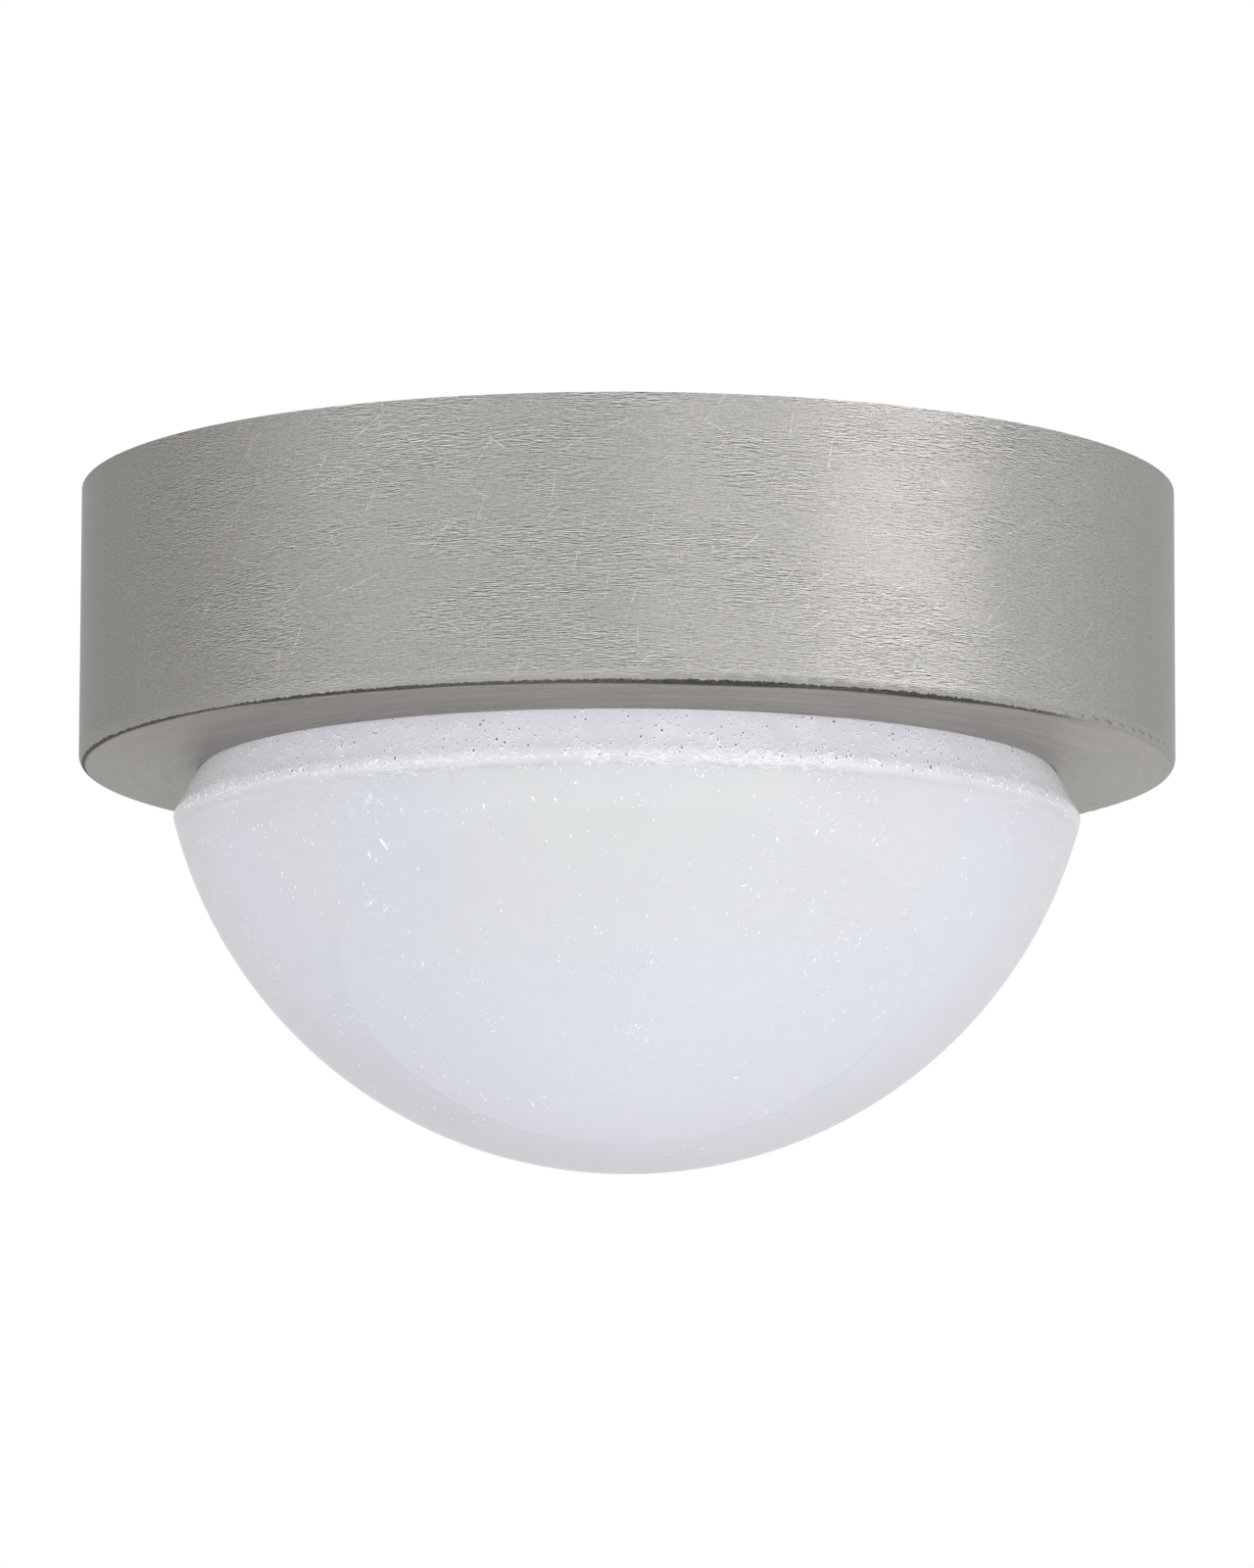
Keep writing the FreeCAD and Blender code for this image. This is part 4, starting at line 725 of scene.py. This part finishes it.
ZINC_PLATED = ("weld_studs", "stud_nuts", "bayonet_ring", "board_screws", "driver_screws",
               "terminal_screws", "terminal_fixing_screws", "earth_washer", "earth_screw",
               "mounting_strap", "fixture_screws")
BARE_ALUMINIUM = ("bayonet_rivets", "fitter_ring")


# ---- pieces ----

def linked(name, data):
    """An object with its data, in the scene."""
    thing = bpy.data.objects.new(name, data)
    bpy.context.scene.collection.objects.link(thing)
    return thing


def new_piece(name, mesh, material, body):
    """Link a mesh as a piece that rides on a body."""
    mesh.materials.append(material)
    piece = linked(name, mesh)
    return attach(piece, body)


def paint(material, *nodes):
    """Give CAD nodes their finish."""
    for node in nodes:
        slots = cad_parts[node].data.materials
        slots.clear()
        slots.append(material)


# Where the collar's seeds lie: their heights, and how deep in the wall.
COLLAR_SEED_LOW = CREASE_LEVEL - 0.8 * MM
COLLAR_SEED_HIGH = OPENING_LEVEL + 0.4 * MM
COLLAR_SEED_DEPTHS = (0.9 * MM, 1.4 * MM)
BOWL_SEED_DEPTHS = (0.5 * MM, 1.6 * MM)
# The sine of the angle from the dome's centre down to the crease, and a little over.
BOWL_SEED_TOP = (DOME_CENTRE - CREASE_LEVEL) / DOME_RADIUS + 0.01
# How strongly the seeds crowd towards the crease, where 1 is evenly.
BUBBLE_CROWDING = 1.25
SPECK_CROWDING = 1.5
BOWL_CROWDING = 1.7
# How much the sizes vary, as the spread of their logarithm, and how much longer than wide a seed is.
BUBBLE_VARIETY = 0.22
SPECK_VARIETY = 0.3
BUBBLE_STRETCHES = (1.0, 1.15)
COLLAR_STRETCH = 1.0
BOWL_STRETCH = 1.5
# The largest bubble, as a share of a middling one, and a speck of the bowl as a share of the collar's.
LARGEST_BUBBLE = 1.5
BOWL_SPECK = 0.75
# How many specks lie together in the bowl, how widely, and their slant: a middle and its spread.
BOWL_CROWDS = (1, 1, 2, 5, 12)
BOWL_SPREADS = (1.5 * MM, 4.0 * MM)
COLLAR_SLANTS = (0.0, 0.8)
BOWL_SLANTS = (math.pi / 2, 0.7)
# Where the random draws start.
BUBBLE_DRAWS = 7
SPECK_DRAWS = 11


def collar_place(spot_random, crowding):
    """A random place in the collar's wall and the way out of it. Crowding draws it to the crease."""
    angle = spot_random.uniform(-math.pi, math.pi)
    share = spot_random.random() ** crowding
    level = COLLAR_SEED_LOW + share * (COLLAR_SEED_HIGH - COLLAR_SEED_LOW)
    skin = CREASE_RADIUS - abs(level - CREASE_LEVEL) * COLLAR_SLOPE
    radius = skin - spot_random.uniform(*COLLAR_SEED_DEPTHS)
    out = Vector((math.cos(angle), math.sin(angle), COLLAR_SLOPE)).normalized()
    return Vector((radius * math.cos(angle), radius * math.sin(angle), level)), out


def bowl_place(spot_random, middle=None, spread=0.0):
    """A random place in the bowl's wall and the way out of it, near a middle if there is one."""
    if middle is None:
        sine = BOWL_SEED_TOP + (1 - BOWL_SEED_TOP) * spot_random.random() ** BOWL_CROWDING
        angle = spot_random.uniform(-math.pi, math.pi)
        flat = math.sqrt(1 - sine * sine)
        out = Vector((math.cos(angle) * flat, math.sin(angle) * flat, -sine))
    else:
        scatter = Vector([spot_random.gauss(0.0, spread) for _ in range(3)])
        out = (middle * DOME_RADIUS + scatter).normalized()
        out.z = min(out.z, -BOWL_SEED_TOP)
        out.normalize()
    depth = spot_random.uniform(*BOWL_SEED_DEPTHS)
    return Vector((0, 0, DOME_CENTRE)) + out * (DOME_RADIUS - depth), out


def seed_shape(place, out, size, stretch, slant):
    """Where a bubble goes, drawn out along a line that slants away from the way round the glass."""
    side = Vector((0, 0, 1)).cross(out).normalized()
    down = out.cross(side)
    turn = Matrix((side, down, out)).transposed().to_4x4() @ Matrix.Rotation(slant, 4, "Z")
    return Matrix.Translation(place) @ turn @ Matrix.Diagonal((size * stretch, size, size, 1.0))


def seeds_piece(name, shapes, material, fineness):
    """Turn the places of the bubbles into a piece in the glass."""
    ball = bmesh.new()
    bmesh.ops.create_icosphere(ball, subdivisions=fineness, radius=1.0)
    corners = [vertex.co.copy() for vertex in ball.verts]
    sides = [[vertex.index for vertex in face.verts] for face in ball.faces]
    ball.free()
    points, faces = [], []
    for shape in shapes:
        start = len(points)
        points += [shape @ corner for corner in corners]
        faces += [[start + index for index in side] for side in sides]
    mesh = bpy.data.meshes.new(name)
    mesh.from_pydata(points, [], faces)
    mesh.shade_smooth()
    new_piece(name, mesh, material, "shade")


# How far from each corner of the glass its rounding starts.
CREASE_ROUND = 0.5 * MM
NECK_ROUND = 0.8 * MM
# Edges that are sharper than this stay sharp.
SHARP_ANGLE = math.radians(40)


def bowl_arc(ball, steps=56):
    """Points (radius, height) along a bowl round the dome's centre, from the crease to its bottom."""
    first = math.acos((DOME_CENTRE - CREASE_LEVEL) / ball)
    angles = [first * (steps - step) / steps for step in range(steps + 1)]
    return [(ball * math.sin(angle), DOME_CENTRE - ball * math.cos(angle)) for angle in angles]


def round_corner(before, corner, after, arm, steps=6):
    """Points of a curve that cuts a corner off, an arm's length from it on each side."""
    corner = Vector(corner)
    first = corner + (Vector(before) - corner).normalized() * arm
    last = corner + (Vector(after) - corner).normalized() * arm
    shares = [step / steps for step in range(steps + 1)]
    return [tuple(first * (1 - t) ** 2 + corner * (2 * t * (1 - t)) + last * t ** 2) for t in shares]


def glass_profile():
    """The glass's outline, from inside its lowest point up to the rim and down the outside."""
    outer = bowl_arc(DOME_RADIUS)
    outer_crease, outer_mouth = (CREASE_RADIUS, CREASE_LEVEL), (MOUTH_RADIUS, MOUTH_LEVEL)
    outer_neck, outer_rim = (NECK_RADIUS, NECK_BASE), (NECK_RADIUS, GLASS_TOP)
    inner = bowl_arc(DOME_RADIUS - GLASS_WALL)
    inner_crease = inner[0]
    inner_mouth = (MOUTH_RADIUS - GLASS_WALL * math.sqrt(1 + COLLAR_SLOPE ** 2), MOUTH_LEVEL)
    inner_neck, inner_rim = (NECK_RADIUS - GLASS_WALL, NECK_BASE), (NECK_RADIUS - GLASS_WALL, GLASS_TOP)
    return [
        *reversed(inner[1:]),
        *round_corner(inner[1], inner_crease, inner_mouth, CREASE_ROUND),
        *round_corner(inner_crease, inner_mouth, inner_neck, NECK_ROUND),
        *round_corner(inner_mouth, inner_neck, inner_rim, NECK_ROUND),
        inner_rim,
        outer_rim,
        *round_corner(outer_rim, outer_neck, outer_mouth, NECK_ROUND),
        *round_corner(outer_neck, outer_mouth, outer_crease, NECK_ROUND),
        *round_corner(outer_mouth, outer_crease, outer[1], CREASE_ROUND),
        *outer[1:],
    ]


def turned_mesh(name, profile, segments=240):
    """A mesh turned round the light's axis. The profile begins and ends on the axis."""
    points = [(0.0, 0.0, profile[0][1])]
    for radius, level in profile[1:-1]:
        for segment in range(segments):
            angle = 2 * math.pi * segment / segments
            points.append((radius * math.cos(angle), radius * math.sin(angle), level))
    points.append((0.0, 0.0, profile[-1][1]))
    rows = len(profile) - 2
    last = len(points) - 1
    faces = []
    for segment in range(segments):
        following = (segment + 1) % segments
        faces.append((0, 1 + segment, 1 + following))
        for row in range(rows - 1):
            low, high = 1 + row * segments, 1 + (row + 1) * segments
            faces.append((low + segment, high + segment, high + following, low + following))
        end = 1 + (rows - 1) * segments
        faces.append((end + segment, last, end + following))
    mesh = bpy.data.meshes.new(name)
    mesh.from_pydata(points, [], faces)
    maker = bmesh.new()
    maker.from_mesh(mesh)
    bmesh.ops.recalc_face_normals(maker, faces=maker.faces)
    maker.to_mesh(mesh)
    maker.free()
    mesh.shade_smooth()
    mesh.set_sharp_from_angle(angle=SHARP_ANGLE)
    return mesh


def make_glass(choices):
    """The glass, turned finely so that it bends light evenly."""
    mesh = turned_mesh("seeded_shade", glass_profile())
    glass = new_piece("seeded_shade", mesh, seeded_glass(choices), "shade")
    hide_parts("glass_dome")


# How far the pads' two skins lie out from the liner.
PAD_INSIDE = 0.03 * MM
PAD_OUTSIDE = 0.08 * MM


def make_pads(choices):
    """The pads under the liner, thinner than their gap, so that no face lies on another.

    Clear silicone on the white liner shows the liner's colour, so they have its finish.
    """
    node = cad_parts["diffuser_pads"]
    mesh = node.data.copy()
    middle = Vector((0, 0, DOME_CENTRE))
    reach = [(vertex.co - middle).length for vertex in mesh.vertices]
    halfway = (min(reach) + max(reach)) / 2
    for vertex, length in zip(mesh.vertices, reach):
        skin = min(reach) + (PAD_INSIDE if length < halfway else PAD_OUTSIDE)
        vertex.co = middle + (vertex.co - middle) * (skin / length)
    mesh.materials.clear()
    pads = new_piece("clear_pads", mesh, white_liner(choices), "shade")
    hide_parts("diffuser_pads")


def make_bubbles(choices):
    """Round bubbles in the collar's wall, crowded towards the crease."""
    spot_random = random.Random(BUBBLE_DRAWS)
    shapes = []
    for _ in range(choices.collar_bubbles):
        place, out = collar_place(spot_random, BUBBLE_CROWDING)
        size = choices.bubble_radius * math.exp(spot_random.gauss(0.0, BUBBLE_VARIETY))
        slant = spot_random.uniform(-math.pi, math.pi)
        stretch = spot_random.uniform(*BUBBLE_STRETCHES)
        size = min(size, LARGEST_BUBBLE * choices.bubble_radius)
        shapes.append(seed_shape(place, out, size, stretch, slant))
    seeds_piece("glass_bubbles", shapes, bubble_skin(), 2)


def speck_shape(spot_random, place, out, radius, longer, slants):
    """A speck at a place, with its size, its length and its slant by chance."""
    size = radius * math.exp(spot_random.gauss(0.0, SPECK_VARIETY))
    stretch = 1.0 + abs(spot_random.gauss(0.0, longer))
    return seed_shape(place, out, size, stretch, spot_random.gauss(*slants))


def make_specks(choices):
    """Fine seeds: thick round the collar, and strewn and clustered in the bowl."""
    spot_random = random.Random(SPECK_DRAWS)
    radius = choices.speck_radius
    shapes = []
    for _ in range(choices.collar_specks):
        place, out = collar_place(spot_random, SPECK_CROWDING)
        shapes.append(speck_shape(spot_random, place, out, radius, COLLAR_STRETCH, COLLAR_SLANTS))
    left = choices.bowl_specks
    while left > 0:
        middle = bowl_place(spot_random)[1]
        crowd = min(left, spot_random.choice(BOWL_CROWDS))
        spread = spot_random.uniform(*BOWL_SPREADS)
        for _ in range(crowd):
            place, out = bowl_place(spot_random, middle, spread)
            shapes.append(speck_shape(spot_random, place, out, BOWL_SPECK * radius, BOWL_STRETCH,
                                      BOWL_SLANTS))
        left -= crowd
    seeds_piece("glass_specks", shapes, speck_skin(), 1)


# ---- the studio ----

# A sensor's width is in millimetres.
SENSOR_WIDTH = 36
# How far round from the front the grey cloth starts to dim, on the right and on the left, and how
# much farther round it is at its darkest.
SCRIM_RIGHT = math.radians(78)
SCRIM_LEFT = math.radians(48)
SCRIM_FADE = math.radians(60)
SCRIM_RADIUS = 3.6
SCRIM_HEIGHT = 5.2
FLOOR_RADIUS = 4.0
STAGE_SEGMENTS = 96

# Lamps: azimuth from the front and elevation in degrees, distance, width and height in metres,
# radiance, and whether the metal and the glass show it.
LAMPS = {
    "wide_softbox": (40, 4, 2.6, 3.9, 2.0, 0.27, True),
    "key_softbox": (58, 4, 2.5, 1.5, 2.0, 0.48, True),
    "left_fill": (-38, -14, 2.0, 2.0, 0.9, 2.1, False),
    "right_fill": (44, -12, 2.0, 2.0, 0.9, 2.15, False),
    "low_fill": (6, -36, 2.2, 3.0, 1.6, 0.48, False),
}


def stage_part(name, mesh_maker, material):
    """Turn a finished bmesh into an object, in its material."""
    mesh = bpy.data.meshes.new(name)
    mesh_maker.to_mesh(mesh)
    mesh_maker.free()
    mesh.materials.append(material)
    return linked(name, mesh)


def make_camera(choices):
    """The camera below and in front of the ring, a little rolled."""
    data = bpy.data.cameras.new("camera")
    data.lens = choices.lens
    data.sensor_width = SENSOR_WIDTH
    camera = linked("camera", data)
    place = Vector((0, -math.cos(choices.elevation), -math.sin(choices.elevation))) * choices.distance
    place.z += BEND_LEVEL
    ahead = Vector((0, math.cos(choices.pitch), math.sin(choices.pitch)))
    up = Vector((0, -math.sin(choices.pitch), math.cos(choices.pitch)))
    right = Vector((1, 0, 0))
    roll_right = math.cos(choices.roll) * right + math.sin(choices.roll) * up
    roll_up = math.cos(choices.roll) * up - math.sin(choices.roll) * right
    turn = Matrix((roll_right, roll_up, -ahead)).transposed().to_4x4()
    camera.matrix_world = Matrix.Translation(place) @ turn
    bpy.context.scene.camera = camera


def make_softbox(name, azimuth, elevation, distance, width, height, radiance, reflected):
    """A rectangular lamp that faces the light. Azimuth 0 is in front, and plus is to the right."""
    data = bpy.data.lights.new(name, "AREA")
    data.shape = "RECTANGLE"
    data.size = width
    data.size_y = height
    data.energy = radiance * math.pi * width * height
    lamp = linked(name, data)
    lamp.visible_camera = False
    lamp.visible_glossy = reflected
    lamp.visible_transmission = False
    across, up = math.radians(azimuth), math.radians(elevation)
    away = Vector((math.sin(across) * math.cos(up), -math.cos(across) * math.cos(up), math.sin(up)))
    lamp.location = Vector((0, 0, OPENING_LEVEL)) + away * distance
    lamp.rotation_mode = "QUATERNION"
    lamp.rotation_quaternion = away.to_track_quat("Z", "Y")


def make_world(choices):
    """Plain light all round, and a white background for what the camera, metal and glass show."""
    world = bpy.data.worlds.new("studio")
    world.use_nodes = True
    bpy.context.scene.world = world
    nodes = Nodes(world.node_tree)
    shown = nodes.add("ShaderNodeLightPath", output="Is Camera Ray")
    shown = shown + nodes.add("ShaderNodeLightPath", output="Is Glossy Ray")
    shown = (shown + nodes.add("ShaderNodeLightPath", output="Is Transmission Ray")).clamped()
    plain = (choices.plain_light,) * 3 + (1.0,)
    colour = nodes.add("ShaderNodeMix", {"data_type": "RGBA"}, {0: shown, 6: plain, 7: WHITE}, output=2)
    background = nodes.add("ShaderNodeBackground", None, {"Color": colour, "Strength": 1.0})
    nodes.add("ShaderNodeOutputWorld", None, {"Surface": background})


def grey_scrim(choices):
    """A cloth that dims what is behind it, on the left and on the right, and ends softly."""
    finish = Finish("grey scrim")
    angle = finish.x.math("ARCTAN2", finish.x, 0 - finish.y)
    right = (angle - SCRIM_RIGHT).rise(0.0, SCRIM_FADE)
    left = (0 - angle - SCRIM_LEFT).rise(0.0, SCRIM_FADE)
    side = (finish.x / finish.radius()).rise(-0.7, 0.7)
    left_grey = finish.clear(tuple(choices.scrim_left))
    right_grey = finish.clear(tuple(choices.scrim_right))
    grey = finish.blend(side, left_grey, right_grey)
    return finish.done(finish.blend(right + left, finish.clear(), grey))


def make_scrim(choices):
    """A grey cloth round the back of the studio, which only the reflections show."""
    mesh_maker = bmesh.new()
    bmesh.ops.create_cone(mesh_maker, cap_ends=False, segments=STAGE_SEGMENTS, radius1=SCRIM_RADIUS,
                          radius2=SCRIM_RADIUS, depth=SCRIM_HEIGHT)
    scrim = stage_part("studio_scrim", mesh_maker, grey_scrim(choices))
    for sight in ("camera", "diffuse", "transmission", "volume_scatter", "shadow"):
        setattr(scrim, "visible_" + sight, False)


def pale_floor():
    """Pale floor with a slight unevenness."""
    finish = Finish("pale floor")
    slow = finish.noise(finish.place, scale=3.0, detail=3.0)
    colour = finish.mix(slow, (0.80, 0.80, 0.80, 1.0), (0.85, 0.85, 0.85, 1.0))
    return finish.done(finish.principled(Base_Color=colour, Roughness=0.8))


def make_floor(choices):
    """A wide round floor, far below."""
    mesh_maker = bmesh.new()
    bmesh.ops.create_circle(mesh_maker, cap_ends=True, segments=STAGE_SEGMENTS, radius=FLOOR_RADIUS)
    floor = stage_part("studio_floor", mesh_maker, pale_floor())
    floor.location.z = -choices.floor_drop


# ---- operators ----

class LIGHT_OT_ring(bpy.types.Operator):
    """Finish the brushed ring"""
    bl_idname = "ceiling_light.ring"
    bl_label = "Housing ring"

    def execute(self, context):
        paint(brushed_nickel(context.scene.light_ring), "housing_ring")
        return {"FINISHED"}


class LIGHT_OT_shade(bpy.types.Operator):
    """Finish the glass, its bubbles and its liner"""
    bl_idname = "ceiling_light.shade"
    bl_label = "Glass shade"

    def execute(self, context):
        choices = context.scene.light_shade
        paint(white_liner(choices), "diffuser")
        make_glass(choices)
        make_pads(choices)
        make_bubbles(choices)
        make_specks(choices)
        return {"FINISHED"}


class LIGHT_OT_inside(bpy.types.Operator):
    """Finish what the ring hides"""
    bl_idname = "ceiling_light.inside"
    bl_label = "Inside"

    def execute(self, context):
        choices = context.scene.light_inside
        paint(enamel("white enamel", tuple(choices.enamel)), "pan")
        paint(plated_metal("zinc plate", tuple(choices.zinc), 0.32), *ZINC_PLATED)
        paint(plated_metal("bare aluminium", tuple(choices.aluminium), 0.4), *BARE_ALUMINIUM)
        paint(plated_metal("plated brass", (0.62, 0.45, 0.20, 1.0), 0.25), "terminal_clamps")
        paint(plated_metal("tinned copper", (0.68, 0.66, 0.62, 1.0), 0.25), "earth_lug")
        paint(clear_adhesive(), "fitter_sealant")
        for name, colour, rough, nodes in PLASTICS:
            paint(plain_plastic(name, colour, rough), *nodes)
        return {"FINISHED"}


class LIGHT_OT_stage(bpy.types.Operator):
    """Make the camera, the lamps, the world and the floor"""
    bl_idname = "ceiling_light.stage"
    bl_label = "Studio"

    def execute(self, context):
        choices = context.scene.light_studio
        context.scene.view_settings.view_transform = "Standard"
        make_camera(choices)
        make_world(choices)
        make_floor(choices)
        make_scrim(choices)
        for name, lamp in LAMPS.items():
            make_softbox(name, *lamp)
        return {"FINISHED"}


class LIGHT_PT_panel(bpy.types.Panel):
    bl_idname = "LIGHT_PT_panel"
    bl_label = "Ceiling light"
    bl_space_type = "VIEW_3D"
    bl_region_type = "UI"
    bl_category = "Light"

    def draw(self, context):
        for name, choices in CHOICES.items():
            box = self.layout.box()
            for setting in choices.__annotations__:
                box.prop(getattr(context.scene, name), setting)
        for operator in OPERATORS:
            self.layout.operator(operator.bl_idname)


OPERATORS = (LIGHT_OT_stage, LIGHT_OT_ring, LIGHT_OT_shade, LIGHT_OT_inside)
CLASSES = (*CHOICES.values(), *OPERATORS, LIGHT_PT_panel)


def register():
    for kind in CLASSES:
        bpy.utils.register_class(kind)
    for name, choices in CHOICES.items():
        setattr(bpy.types.Scene, name, bpy.props.PointerProperty(type=choices))


def unregister():
    for name in CHOICES:
        delattr(bpy.types.Scene, name)
    for kind in reversed(CLASSES):
        bpy.utils.unregister_class(kind)


def main():
    register()
    bpy.ops.ceiling_light.stage()
    bpy.ops.ceiling_light.ring()
    bpy.ops.ceiling_light.shade()
    bpy.ops.ceiling_light.inside()


if __name__ == "__main__":
    main()
